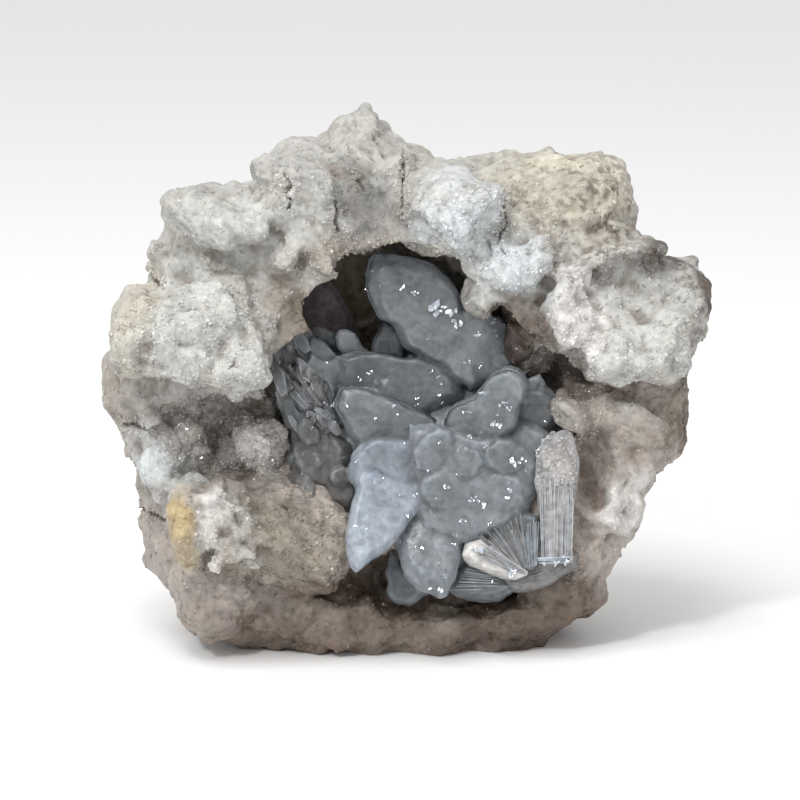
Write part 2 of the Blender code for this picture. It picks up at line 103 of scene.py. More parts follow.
# Lumps of stone on the broken face: name, centre, half sizes, turn about y in degrees.
LUMPS = [
    ("peak", (-6.3, -4, 80), (3.6, 9, 7), 0),
    ("upper_block", (-16.8, -9, 75.6), (6.2, 11, 8.2), 0),
    ("upper_slab", (-28.6, -9, 71), (9.6, 11, 5.4), 5),
    ("upper_left_edge", (-35.5, -4, 64.5), (5.4, 10, 5), 10),
    ("left_block_tan", (-40.4, -14, 53), (6.6, 11, 7.8), 0),
    ("left_block_mid", (-34.5, -15.5, 54.5), (8.5, 12, 8.6), 0),
    ("left_block_white", (-29, -16, 55), (8, 12, 8.8), -8),
    ("left_block_lip", (-26, -20, 50.4), (5.8, 9, 5), -12),
    ("left_rim_low", (-43.5, -4, 41), (4.6, 10, 5), 10),
    ("left_pale_low", (-38, -7, 33), (6, 12, 6), 0),
    ("amber_slab", (-34.7, -20.5, 23.4), (3.2, 7, 7.8), 0),
    ("amber_side", (-30.3, -20.5, 23.4), (2, 7, 7.4), 0),
    ("low_left_mass", (-19, -14, 20.5), (11.5, 12, 9), 6),
    ("low_left_step", (-25.6, -21.5, 20.4), (4.4, 6, 4.4), 0),
    ("low_left_base", (-31, -8, 11), (8.5, 13, 8), 30),
    ("base_left", (-15, -4, 1), (12, 10, 6), 0),
    ("base_mid", (7, -4, 0), (15, 10, 6), 0),
    ("base_right", (25, -5, 9), (8, 11, 8.5), -35),
    ("right_low_lump", (35, -8, 24.3), (4.4, 10, 6), 0),
    ("right_mid", (35.5, -8, 39), (9.6, 12, 6.3), 4),
    ("right_mid_block", (27.4, -15, 41), (2.9, 7, 3.6), 0),
    ("right_rind_edge", (43.5, 0, 37), (3, 8, 6), 0),
    ("bowl", (37, -12, 58.2), (11.8, 9.5, 10.4), 0),
    ("bowl_lip", (38.2, -18.5, 52), (9.4, 7.5, 5.4), 0),
    ("right_inner_wall", (21, -5.5, 54), (5.6, 8, 8), 0),
    ("bowl_left", (26.5, -17, 58), (3.8, 8, 7.5), 10),
    ("bowl_corner", (45, -8, 60.5), (3.6, 9, 3.4), 0),
    ("bowl_top", (34, -15, 67), (7.5, 8, 2.6), -6),
    ("upper_pale", (18, -10, 66), (8.6, 11, 5.6), 10),
    ("nodule_hang", (12.2, -12, 59.4), (2.5, 5, 4.2), 0),
    ("top_white", (7, -10, 74), (9, 13, 7.6), 8),
    ("rind_patch", (25, -2, 74), (11.6, 12, 7), 4),
    ("rind_edge", (34.5, -4, 69), (3.4, 9, 4.6), 30),
    ("nodule_a", (-18.9, -15, 65.6), (3.4, 6, 2.7), 0),
    ("nodule_b", (-12.6, -14.5, 65.2), (2.9, 6, 2.5), 0),
    ("nodule_c", (-23.3, -12.5, 61.2), (3.3, 6, 3), 0),
    ("nodule_d", (-19.5, -11.5, 60.6), (2.6, 6, 2.5), 0),
    ("nodule_e", (-8.4, -11, 70), (3.4, 7, 3.2), 0),
    ("nodule_f", (-21, -11, 55.6), (2.9, 6, 2.9), 0),
    ("druse_knob", (-23.6, -4.8, 33.4), (6.2, 8, 5.6), 0),
    ("amber_step", (-26.8, -20, 26), (2.8, 7, 4.6), 0),
    # These three close gaps between the lumps and aren't in the solids.
    ("amber_core", (-30.2, -20.8, 23.4), (5.6, 6.8, 7), 0),
    ("step_core", (-26.6, -20.8, 21), (5, 6.6, 6), 0),
    ("knob_face", (-23.6, -8.6, 35.2), (4.9, 5.6, 4.7), 0),
]

# Dents pressed into the broken face: name, centre x and z, half sizes, and depth.
DENTS = [
    ("bowl", (37, 62), (9.6, 8), 5.2),
    ("recess_left", (-28, 65), (14, 5.4), 2),
    ("recess_right", (31, 32), (4, 8), 2.8),
]

# Intergrown mass that the crystals stand on: centre and half sizes. The first three are those of
# the solids, and the others carry the small blades on the left.
ROOTS = [
    ((5, -1, 34), (17, 12, 15)),
    ((-11, 1, 38), (10, 11, 10)),
    ((14, -9, 22), (13, 10, 9)),
    ((11, -9, 31), (13, 9, 10)),
    ((-9, -4, 31), (9, 9, 9)),
    ((-15.5, -3, 32), (7, 9, 8)),
]
ROOT_SCALE = 0.97  # makes room for its grain
ROOT_GRAIN, ROOT_RISE = 3.4, 1.6

# How the stone's lumps are shaped and joined to the shell.
BLOCKINESS = 2.7  # exponent of a lump's rounded-box form; 2 is an ellipsoid
LUMP_CUTS = 7  # planes that strike off a lump's corners
CUT_REACH = (0.72, 0.95)  # their nearest and farthest distance from its middle, as a share
LUMP_OVERSIZE = 1.06  # makes up for the corners that are struck off
SKIN_VOXEL = 0.48  # size of the voxels that weld the lumps to the shell
EASING = 9  # smoothing passes after the weld
DENT_REACH = 3.0  # a dent moves only what lies in front of this depth
RIND_DEPTH = 3.0  # behind this depth the rind is a piece of its own with larger facets
# The two pieces: name, whether it is the broken face, and number of triangles.
STONE_PIECES = [("stone_wall", True, 192000), ("stone_rind", False, 90000)]

# How the stone's surface is warped and chipped, as in the solids.
NOISE_SEED = 6
WARPS = [(9, 1.0), (4.2, 0.6)]  # size of a wave, and how far it moves the surface
CHIPS = [(9, 3.1, 1.1), (4.5, 8.7, 0.8)]  # size of a facet, seed, and its rise or fall
CHIP_SINK = 0.3  # how much lower the chipped surface is on the whole

# The stone's angular grains, from coarse to fine: size, seed and rise.
GRAINS = [(4.4, 3, 0.8), (2.3, 5, 0.42), (1.25, 7, 0.22)]
GRAIN_LEVEL = 0.62  # height of a grain that neither raises nor lowers the surface
GRAIN_STRENGTH = (0.75, [(9, 12, 0.45)])  # on the whole, and the waves by which it varies

# Cracks in the broken face: points x and z, half width and depth.
CRACKS = [
    ([(0.1, 82), (0.3, 79.6), (-0.2, 77), (0.1, 73.5)], 0.14, 0.7),
    ([(-18.8, 79.8), (-17.8, 78.4), (-18.6, 77.0), (-17.6, 75.6), (-18.0, 74.4)], 0.2, 0.9),
    ([(-10.8, 75.6), (-10.3, 74), (-10.7, 72.2), (-10.2, 70.6)], 0.22, 0.9),
    ([(-7.2, 78.4), (-6.6, 77.8), (-6.2, 77.0)], 0.2, 0.6),
    ([(16.0, 75), (16.6, 71.5), (15.2, 68.8), (16.4, 67)], 0.18, 0.6),
    ([(-45.6, 37.6), (-43.4, 38.4), (-41.2, 38.0)], 0.26, 1.0),
    ([(-43.2, 22.6), (-41, 23.4), (-38.6, 23.0)], 0.24, 1.0),
    ([(-43.6, 62.5), (-41, 62.2), (-39.4, 61.2)], 0.24, 0.9),
]
CRACK_CUTS = 2  # how often the stone's edges beside a crack are cut

# Colours seen on the stone, as they look in daylight.
WHITE = (0.70, 0.70, 0.685)
PALE = (0.685, 0.68, 0.66)
GREY = (0.59, 0.58, 0.56)
BLUISH = (0.75, 0.765, 0.77)
CREAM = (0.72, 0.70, 0.64)
OCHRE = (0.64, 0.60, 0.51)
AMBER = (0.66, 0.59, 0.45)
PINKISH = (0.62, 0.58, 0.55)
TAUPE = (0.59, 0.56, 0.52)
EARTH = (0.415, 0.36, 0.315)
BROWN = (0.35, 0.29, 0.24)
UMBER = (0.22, 0.18, 0.16)
DRUSE = (0.68, 0.66, 0.64)
BRIGHT = (0.80, 0.79, 0.775)
DUSKY = (0.45, 0.445, 0.435)
SAND = (0.52, 0.49, 0.445)
LOAM = (0.35, 0.295, 0.255)
CLAY = (0.40, 0.34, 0.30)
# Colour of the painted shadow in the undercuts.
UNDERCUT_SHADOW = (0.27, 0.225, 0.185)

# Zones of colour on the stone: name, centre, radii, colour and strength. Later ones lie on top.
# Some of them paint light and shade, as marked.
ZONES = [
    ("lower_half", (0, -14, 12), (62, 40, 30), PINKISH, 0.85),
    ("right_side", (38, -8, 38), (17, 24, 13), PINKISH, 0.8),
    ("left_side", (-48, 0, 40), (8, 24, 10), TAUPE, 0.7),
    # Darker and browner at the base: partly the stone's own colour, partly painted shade on the lower face.
    ("base", (2, -10, 1), (44, 34, 11), EARTH, 0.95),
    ("base_right", (22, -10, 4), (16, 24, 9), LOAM, 0.9),
    ("slab", (-27, -20, 72), (13, 14, 5), WHITE, 0.95),
    ("slab_right", (-12, -20, 74), (7, 12, 6), PALE, 0.8),
    ("mid_top", (-4, -14, 72), (6.5, 12, 8), GREY, 1.0),
    ("peak", (-4, -12, 84), (7, 14, 6), PALE, 0.9),
    ("left_block", (-29, -24, 55), (13, 12, 11), WHITE, 1.0),
    ("left_block_tan", (-43, -16, 56), (6, 12, 9), CREAM, 0.7),
    ("top_white", (8, -20, 73), (8, 10, 9), BLUISH, 1.0),
    ("mid_shade", (-5.5, -16, 75.5), (5, 13, 6.5), DUSKY, 0.9),
    ("upper_pale", (18, -22, 65), (10, 10, 6), BLUISH, 1.0),
    ("bowl", (36, -24, 57), (13, 12, 13), WHITE, 0.95),
    ("bowl_heart", (36, -14, 60), (6, 9, 5), PALE, 0.6),
    ("rind", (26, -8, 77), (13, 16, 7), CREAM, 0.95),
    ("rind_low", (31, -12, 71), (11, 12, 5), OCHRE, 0.25),
    ("bowl_ring", (28, -24, 58), (5, 12, 10), BRIGHT, 0.8),
    # Painted light: brighter than the stone's pale colour, where the lump's faces turn from the lamp.
    ("low_lump", (36, -16, 25), (5, 10, 7), BRIGHT, 0.9),
    ("pale_low", (-39, -18, 33), (7, 12, 7), BLUISH, 0.95),
    ("low_left", (-20, -24, 21), (14, 10, 9), SAND, 0.9),
    ("amber", (-35.2, -28, 24), (3.4, 9, 9), AMBER, 1.0),
    # Partly the pale stone's colour, partly painted light on a side that lies in shade.
    ("amber_side", (-30, -28, 24), (2.4, 9, 8.4), BRIGHT, 1.0),
    ("amber_step", (-27, -28, 26.5), (2.8, 9, 5), PALE, 0.8),
    ("step", (-24.4, -28, 20), (3, 6, 3.2), PALE, 0.9),
    ("recess_upper", (-26, -12, 63), (15, 9, 4), WHITE, 0.8),
    ("recess_beside_block", (-17, -8, 58), (6, 8, 8), TAUPE, 0.7),
    # Painted shadow below the bowl's lip.
    ("recess_under_bowl", (29, -10, 46), (9, 12, 5), EARTH, 0.6),
    # Painted shadow in the undercuts below the crystals and the lower left mass.
    ("undercut", (4, -14, 12), (26, 10, 5), UNDERCUT_SHADOW, 0.9),
    ("undercut_left", (-12, -16, 12), (9, 9, 4), BROWN, 0.9),
    ("right_foot", (26, -14, 10), (6, 12, 8), EARTH, 0.5),
    ("recess_right", (31, -14, 32), (4, 10, 6), EARTH, 0.15),
    # Painted shade where the stone turns into the hollow's mouth, under its top and beside its sides.
    ("mouth_top", (-3, -14, 66), (15, 14, 4.5), TAUPE, 0.9),
    ("mouth_left", (-19, -12, 57), (5.5, 12, 8), TAUPE, 0.9),
    ("mouth_dark", (-16, -8, 54), (4, 12, 9), BROWN, 0.6),
    ("mouth_right", (20, -12, 55), (6, 12, 6), EARTH, 0.8),
    ("hollow_wall", (2, 2, 50), (22, 13, 18), CLAY, 0.8),
    ("hollow", (-7, 6, 57), (14, 15, 12), TAUPE, 0.7),
    # Painted shadow in the gap right of the great blade.
    ("gap", (19.6, -11, 51), (3, 9, 5.5), UMBER, 0.9),
    ("left_pocket", (-30, -10, 38), (11, 10, 7), DRUSE, 0.9),
    # Painted shade in a ring round the knob, and painted light on its front, which show its round form.
    ("knob_shade", (-24, -9, 35.6), (9, 9, 8), UMBER, 0.55),
    ("knob", (-23.6, -14, 35.4), (5.4, 5, 5), BRIGHT, 1.0),
    ("right_crust", (45, -12, 42), (5, 14, 8), SAND, 0.8),
    ("right_rind", (47.5, -4, 38), (3, 12, 8), BROWN, 0.95),
    ("bowl_rind", (51, -10, 58), (3.4, 20, 11), UMBER, 0.9),
    ("bowl_rind_top", (47, -12, 66.6), (8, 22, 3), UMBER, 0.9),
]

# Painted shade and dirt in the hollows: smoothing passes that a hollow is measured by, its depths
# where the darkening begins and is full, and strength.
HOLLOW_SHADE_AND_DIRT = [(4, 0.02, 0.35, 0.45), (30, 0.15, 1.4, 0.5)]
# Patches and tones: size of the waves or grains, seed and share.
RIND_WAVES = [(6, 41, 1)]
STAIN_WAVES = [(7, 61, 1), (2.6, 62, 0.5)]
PIT_WAVES = [(0.9, 71, 1), (0.5, 72, 0.7)]
TONE_WAVES = [(1.7, 21, 0.10), (4.5, 22, 0.07)]
GRAIN_TONES = [(3.1, 33, 0.16), (1.1, 31, 0.26)]

# Where the rind has fine brown specks: centre and radii.
SPECKLED = [((31, -10, 73), (10, 18, 9)), ((46, -10, 42), (5, 16, 9)), ((49, -10, 58), (4, 16, 9))]

# Small crystals that coat the stone: name, number, size, centre and radii of the place.
SUGAR = [
    ("all", 9000, 0.8, (0, -14, 45), (60, 26, 60)),
    ("bowl", 1500, 0.7, (36, -20, 55), (14, 12, 14)),
    ("top", 1500, 0.7, (12, -18, 70), (14, 12, 9)),
    ("left_block", 1400, 0.75, (-32, -24, 54), (14, 12, 10)),
    ("low_left", 1000, 0.75, (-20, -24, 22), (15, 12, 10)),
]
DRUSE_COAT = [
    ("pocket", 2600, 0.75, (-30, -10, 37), (12, 12, 9)),
    ("knob", 900, 0.7, (-24, -10, 35), (7, 8, 7)),
    ("hole_rim", 900, 0.7, (-8, -10, 66), (17, 9, 6)),
    ("right_wall", 1500, 0.75, (27, -8, 44), (8, 12, 12)),
]

# Colours of the crystals, as they look in daylight.
SMOKE = (0.525, 0.545, 0.555)
STEEL = (0.55, 0.57, 0.59)
MIST = (0.565, 0.585, 0.60)
PEARL = (0.645, 0.675, 0.71)
FROST = (0.57, 0.56, 0.555)
ASH = (0.475, 0.47, 0.465)
RIM = (0.44, 0.46, 0.48)
SHADE = (0.50, 0.46, 0.48)
MILK = (0.70, 0.73, 0.77)
MURK = (0.47, 0.49, 0.50)
CLOUD = (0.59, 0.61, 0.63)
WHITISH = (0.65, 0.645, 0.64)

# Crystals as seen from the front: name, the mass that it is part of, tint, depth of its middle, how
# much deeper it lies per millimetre to the right and upwards, thickness, size of its flat face as a
# share of its outline, and the outline's corners right of the middle and above AIM.
PLATES = [
    ("shadow_left", "roots", SHADE, 5, (0, 0), 4, 0.8, [
        (-18.5, 8.3), (-19, 11.3), (-17.7, 12.8), (-16.5, 13.9), (-15.8, 15.6), (-15, 16.7),
        (-13.3, 16.7), (-11.9, 16.1), (-10.5, 14.3), (-9.5, 12.3), (-8.4, 10.8), (-7.9, 8.3),
        (-9.5, 5.8), (-15.3, 5),
    ]),
    ("shadow_right", "roots", SHADE, 5, (0, 0), 4, 0.8, [
        (-17, 5.8), (-14, 8.3), (-12, 9), (-9.7, 8.3), (-8.4, 6.6), (-8.7, 4), (-13.7, 3.3),
    ]),
    ("back_fin", "clear", SMOKE, -5, (0, 0), 3, 0.8, [
        (-3.1, 9.8), (-1.6, 9), (-0.2, 7.8), (0.4, 6.1), (-0.1, 3.8), (-2.7, 3.5), (-5.1, 4.1),
        (-5.1, 5.6), (-4.6, 7.3), (-3.9, 8.6),
    ]),
    ("great_blade", "clear", MIST, -8.8, (0.05, -0.1), 8, 0.8, [
        (-5.7, 19.6), (-4.6, 20.7), (-2.1, 21.2), (0.9, 20.7), (3.7, 19.7), (6.2, 18.4),
        (7.9, 16.7), (9, 14.8), (10, 12.8), (10.7, 10.3), (12.2, 8.3), (16.2, 7.8), (17.8, 6),
        (18.5, 3), (16.2, 0.2), (11.2, -1.7), (8.2, 0), (5.9, 1.8), (2.6, 3.8), (0.2, 5.5),
        (-0.7, 7.6), (-2.4, 9.6), (-3.9, 10.1), (-5.1, 12.3), (-6.1, 14.6), (-6.4, 16.9),
    ]),
    ("leaf_behind", "fringe", STEEL, -6.4, (0.1, 0), 2, 0.8, [
        (-14.8, 8.6), (-12.9, 8.5), (-11.4, 7.8), (-10.2, 6.5), (-10, 4.5), (-11.4, 4.5),
        (-12.7, 6.1), (-15.2, 7.6),
    ]),
    ("leaf_right", "fringe", STEEL, -9, (0.2, 0.1), 2.6, 0.8, [
        (-11, 7.1), (-10.5, 8.1), (-9.4, 8.5), (-8.4, 8), (-7.4, 7), (-6.6, 5.6), (-5.4, 4.5),
        (-7.5, 3.6), (-9.5, 4), (-10.9, 5.5),
    ]),
    ("fringe_top", "clear", SMOKE, -9, (0.3, 0), 3, 0.8, [
        (-18.5, 8.1), (-16.8, 6.8), (-15.5, 4.6), (-15.2, 1.7), (-17, -0.8), (-19.3, -0.2),
        (-20.8, 2.7), (-20, 5.8),
    ]),
    ("leaf_left", "fringe", MIST, -10.4, (0.2, 0), 2.6, 0.84, [
        (-15.2, 7.6), (-14, 7.1), (-12.7, 6.1), (-11.5, 4.8), (-10.7, 3.3), (-11.4, 1.2),
        (-13.3, 1), (-15, 2.2), (-15.7, 4.3), (-15.7, 6.1),
    ]),
    ("shelf", "clear", MURK, -10.8, (0.1, 0.17), 7, 0.8, [
        (-11.2, 3.6), (-8.7, 4.6), (-5.2, 4.5), (-1.6, 3.6), (2.9, 3.5), (6.4, 2.2), (10, -1),
        (9.9, -3.3), (6.9, -5.3), (2.9, -6.8), (-0.4, -7.3), (-3.7, -4), (-7, -2.3), (-9.9, -2.2),
        (-11.5, 0.5),
    ]),
    ("great_foot", "clear", MIST, -9.8, (0.06, 0.14), 6, 0.9, [
        (6.9, 9.6), (9.5, 11.4), (12.5, 11.3), (15.8, 10.4), (18, 8.3), (19, 5.5), (18.5, 2.8),
        (16.2, 0.2), (11.2, -1.7), (8.2, 0), (6.4, 3), (5.7, 6.3),
    ]),
    ("fringe_mid", "clear", SMOKE, -11.8, (0.1, 0.3), 4, 0.8, [
        (-15.7, 4.5), (-13, 3), (-10.5, 3.2), (-10.2, -0.2), (-11.2, -3.6), (-12.2, -1.2),
        (-14.3, 0), (-16.5, -0.8), (-17, 1.5),
    ]),
    ("fringe_low", "clear", SMOKE, -12.4, (0, 0.2), 5, 0.8, [
        (-20.1, -0.2), (-17.7, -0.8), (-18.8, -3.2), (-17.8, -5.3), (-15.3, -7), (-11.4, -8.3),
        (-9.5, -10), (-12, -10.1), (-16, -9.5), (-19.2, -7.8), (-21, -4),
    ]),
    ("fringe_step", "clear", STEEL, -11.8, (0.3, 0), 2.4, 0.8, [
        (-14.5, -0.2), (-12.9, -0.3), (-11.9, -1.8), (-11.5, -4.5), (-12.9, -3.6), (-14, -1.8),
    ]),
    ("fringe_plate", "clear", STEEL, -12, (0.2, 0.1), 3, 0.84, [
        (-18, -1), (-15, -0.5), (-13.8, -1.5), (-12.7, -3.6), (-11.9, -6.1), (-13.3, -7.3),
        (-16, -6.5), (-18, -4.8), (-19, -3),
    ]),
    ("knob_high", "clear", ASH, -10.4, (0, 0.1), 6.4, 0.5, [
        (-18.5, -10.1), (-16.7, -9), (-14, -9.3), (-12.5, -11.1), (-13, -13.4), (-15.7, -14.4),
        (-17.8, -13.4), (-18.8, -11.8),
    ]),
    ("knob_main", "clear", ASH, -12.4, (0, 0.1), 7, 0.66, [
        (-17.5, -6.6), (-14, -7.3), (-10.7, -9), (-8.5, -11.3), (-8, -13.6), (-8.9, -16.6),
        (-10.2, -18.9), (-13.3, -19.9), (-16.8, -19.4), (-18.5, -17.2), (-18.2, -14.6),
        (-17.7, -11.9), (-18.5, -9.3),
    ]),
    ("knob_low", "clear", ASH, -13.4, (0, 0.2), 5, 0.5, [
        (-20.5, -16.7), (-18.3, -15.3), (-15.7, -15.9), (-13.3, -17.6), (-12, -19.4),
        (-14.5, -20.1), (-17.7, -19.9), (-19.7, -19.1), (-20.8, -17.9),
    ]),
    ("left_wing", "clear", SMOKE, -15, (0.2, -0.1), 5, 0.86, [
        (-10.4, -1.5), (-8.4, -1.2), (-6.7, -1.3), (-4.6, -2.3), (-1.7, -3.2), (1.2, -4.5),
        (4.6, -6.1), (6.2, -7.8), (4.2, -9.6), (1.9, -11.1), (-1.2, -11.4), (-5.1, -11.1),
        (-7.5, -10.9), (-8.9, -9.3), (-9.7, -7.5), (-10.7, -5.5), (-11, -3.5),
    ]),
    ("pale_neck", "clear", PEARL, -16.5, (0.1, 0.25), 6.4, 0.8, [
        (-7.4, -11.3), (-6.1, -10.8), (-4.1, -10), (-1.2, -10.1), (1.4, -10.4), (2.1, -11.9),
        (2.9, -13.6), (3.2, -15.9), (3.1, -18.4), (0.9, -18.6), (-3.4, -16.6), (-6.4, -14.9),
        (-8.4, -17.4), (-8.9, -16.3), (-8.9, -14.4), (-8.4, -12.8),
    ]),
    ("pale_spear", "clear", MILK, -20.4, (0.26, 0.5), 5.4, 0.86, [
        (-6.9, -15.1), (-6.1, -13.9), (-4.1, -13.4), (-1.7, -13.8), (0.2, -14.9), (2.1, -16.6),
        (3.2, -18.4), (2.9, -20.9), (1.4, -23.2), (-0.2, -25.4), (-1.6, -27.4), (-3.4, -28.9),
        (-5.2, -29.9), (-7.5, -31.7), (-8.7, -30.8), (-9.2, -28.5), (-9.4, -26.2), (-8.9, -23.4),
        (-8.5, -21.2), (-7.9, -19.1), (-7.5, -17.7), (-8.2, -16.9), (-7.9, -15.9),
    ]),
    ("back_right", "clear", MIST, -13, (0, 0), 7, 0.7, [
        (18.2, -3), (20.5, -1), (23.1, -0.7), (25.5, -2.3), (26.1, -5.3), (25.1, -8.3),
        (22.8, -10.3), (19.5, -10.9), (17.5, -8.6), (17.2, -5.6),
    ]),
    ("back_low", "clear", MIST, -16, (0, 0), 6, 0.7, [
        (17.2, -8.3), (19.5, -6.6), (22.5, -7.3), (24.5, -9), (24.1, -11.6), (22.5, -14.3),
        (19.8, -14.9), (17.2, -13.3), (16.2, -10.6),
    ]),
    ("right_spear", "clear", MIST, -18.4, (-0.14, -0.2), 5.4, 0.86, [
        (18.2, 2.3), (19.5, 1.8), (20.6, 0.7), (21.1, -0.7), (20.8, -2), (19.8, -3.6),
        (19.3, -5.3), (19.2, -7.3), (17.8, -8.6), (16.2, -9.6), (14.5, -10.4), (12.5, -11.3),
        (10.7, -11.9), (9, -11.8), (8.2, -10.9), (8, -9.5), (7.2, -8.1), (7, -6.8), (7.5, -5.5),
        (8.9, -4.1), (10.4, -3.2), (12.2, -2.5), (12.9, -1.3), (14, 0), (15.2, 1.3), (16.7, 2.2),
    ]),
    ("centre_mass", "clear", CLOUD, -17.4, (0, 0.1), 8, 0.86, [
        (1.2, -8), (4.9, -7.3), (8.7, -8.3), (12.9, -9.6), (17.5, -9.3), (21.1, -10.9),
        (23, -14.6), (22.1, -19.6), (20.1, -22.9), (16.8, -25.2), (11.9, -26.9), (7.2, -27.2),
        (2.9, -25.9), (1.6, -21.9), (1.9, -16.9), (0.9, -11.9),
    ]),
    ("lobe_a", "clear", CLOUD, -20, (0.12, 0.16), 3.6, 0.8, [
        (2.2, -14.9), (1.9, -11.9), (3.6, -9.3), (5.9, -7.8), (7.9, -8.3), (8.7, -10.9),
        (7.7, -13.6), (5.2, -15.4),
    ]),
    ("lobe_b", "clear", MIST, -20, (0.1, 0.12), 3.6, 0.84, [
        (13.2, -11.6), (15.5, -10), (18.3, -10), (20.6, -11.6), (21.1, -13.9), (19.5, -15.8),
        (16.2, -16.4), (13.7, -14.6),
    ]),
    ("lobe_c", "clear", MIST, -20.1, (0.16, 0.14), 3.6, 0.84, [
        (3.2, -16.3), (6.2, -14.8), (9.4, -15.4), (11, -18.2), (10.4, -21.1), (7.5, -22.4),
        (4.4, -21.2), (2.7, -18.9),
    ]),
    ("lower_back", "clear", STEEL, -14.6, (0, 0.3), 3.4, 0.84, [
        (-2.7, -30.8), (-1.9, -28), (-0.9, -29.9), (-0.1, -31.8), (0.9, -33.2), (2.6, -34.5),
        (4.6, -35.2), (3.1, -36.3), (1.2, -37.3), (-0.7, -37.1), (-2.2, -36.5), (-2.9, -35.2),
        (-2.4, -33.8), (-2.9, -32.3),
    ]),
    ("lower_blade", "clear", CLOUD, -20.2, (0.1, 0.6), 5.6, 0.8, [
        (-0.6, -26), (1.2, -23.5), (2.9, -21.2), (4.9, -21.9), (7.2, -21.6), (9.7, -21.9),
        (11.2, -23.4), (10.7, -25.4), (10, -27.5), (9.5, -29.2), (9.2, -30.8), (9, -32.5),
        (8.4, -33.8), (7.5, -35.7), (6.2, -36), (4.6, -35.3), (3.1, -34.8), (1.6, -33.7),
        (0.4, -32.3), (-0.4, -30.3), (-0.9, -28.5), (-1.1, -27),
    ]),
    ("fan_back", "clear", SMOKE, -19.2, (0, 0.1), 5, 0.84, [
        (15.5, -23.7), (17.5, -22.2), (20.1, -21.9), (22.5, -22.6), (23.5, -26.5), (23.8, -29.5),
        (21.8, -32.2), (19.5, -31.7), (16.5, -29.2), (13.8, -27.2), (12.9, -25.7),
    ]),
    ("ledge_left", "clear", SMOKE, -16.8, (0, 0.3), 7, 0.8, [
        (7.7, -35.2), (9, -32), (10.9, -30.5), (14.3, -31.3), (17.3, -32.8), (18.5, -35.2),
        (16.3, -36.7), (11.4, -36.7), (8.9, -36),
    ]),
    ("ledge_right", "frost", ASH, -17.4, (0, 0.3), 7, 0.8, [
        (16, -32.5), (19.5, -30.5), (23.6, -28.7), (27.8, -28), (29.6, -29.2), (28.9, -31.2),
        (26.3, -32.7), (23.6, -34.2), (21.1, -34.8), (17.8, -35.2),
    ]),
    ("bright_block", "frost", BRIGHT, -20.3, (0, 0.2), 5, 0.8, [
        (10.5, -26.7), (12.2, -25.9), (14.2, -26.7), (16.2, -28.4), (18.2, -29.9), (20.1, -31),
        (21.1, -32.5), (18.8, -33.5), (16.2, -32.8), (13.2, -31.5), (11, -30.8), (9.7, -29.4),
    ]),
    ("column", "frost", FROST, -19.2, (0, 0), 7, 0.6, [
        (22.5, -11.6), (23.3, -10.1), (24.5, -9.1), (26, -8.5), (27.3, -8.6), (28.3, -9.6),
        (28.8, -11.6), (29.3, -13.9), (29.1, -16.6), (28.6, -19.1), (28.3, -22.4), (28.1, -25.7),
        (28.1, -28.2), (28.4, -29.9), (27.1, -30.8), (25.1, -31.2), (23.6, -30.5), (23, -28.2),
        (22.8, -24.9), (22.6, -21.9), (22.3, -19.2), (21.6, -16.9), (22, -14.3),
    ]),
    ("knob_foot", "clear", ASH, -13.6, (0, 0.2), 6, 0.6, [
        (-14.3, -16.3), (-11, -14.9), (-8, -14.6), (-6.7, -16.9), (-7, -20.2), (-8.4, -23.2),
        (-10.4, -23.5), (-12.4, -21.6), (-14, -19.6),
    ]),
    ("lobe_d", "clear", MIST, -19.9, (-0.1, 0.2), 3.6, 0.8, [
        (8, -11.9), (10.5, -10.8), (13, -11.9), (14, -14.3), (12.5, -16.4), (9.9, -16.7),
        (7.7, -14.9),
    ]),
    ("lobe_e", "clear", CLOUD, -20.2, (-0.14, 0.1), 3.6, 0.84, [
        (12.9, -16.9), (15.8, -15.4), (19, -15.9), (20.6, -18.2), (20, -21.1), (17.2, -22.4),
        (14.3, -21.4), (12.5, -19.2),
    ]),
    ("lobe_f", "clear", MIST, -20, (0, 0.3), 3.6, 0.8, [
        (5.9, -23.2), (9.5, -21.7), (13.3, -22.2), (14.8, -24.9), (12.7, -27), (8.9, -27.4),
        (6.2, -25.5),
    ]),
]

# Sheaves of small blades that overlap, as seen from the front: name, mass, middle and half sizes of
# the place, the angle that they point at, how much it varies, number, length, width and depth.
SHEAVES = [
    ("fringe_high", "fringe", (-18.2, 4.4), (2.4, 3.6), 122, 8, 20, 7.5, 2.1, -9.9),
    ("fringe_side", "fringe", (-17.8, -1.6), (2.8, 3.4), 126, 9, 22, 7.0, 2.0, -12.2),
    ("fringe_inner", "fringe", (-13.6, -2.2), (2.4, 3.2), 118, 14, 15, 5.6, 2.0, -13.2),
    ("fringe_low", "fringe", (-14.4, -7.4), (3.4, 1.8), 132, 16, 16, 4.8, 1.8, -13.8),
    ("right_wall", "clear", (21.6, -5.0), (3.4, 4.4), 60, 35, 12, 5.0, 2.6, -14.0),
    ("knobs", "clear", (-13.5, -13.0), (3.6, 4.5), 120, 40, 10, 5.5, 3.6, -14.2),
]

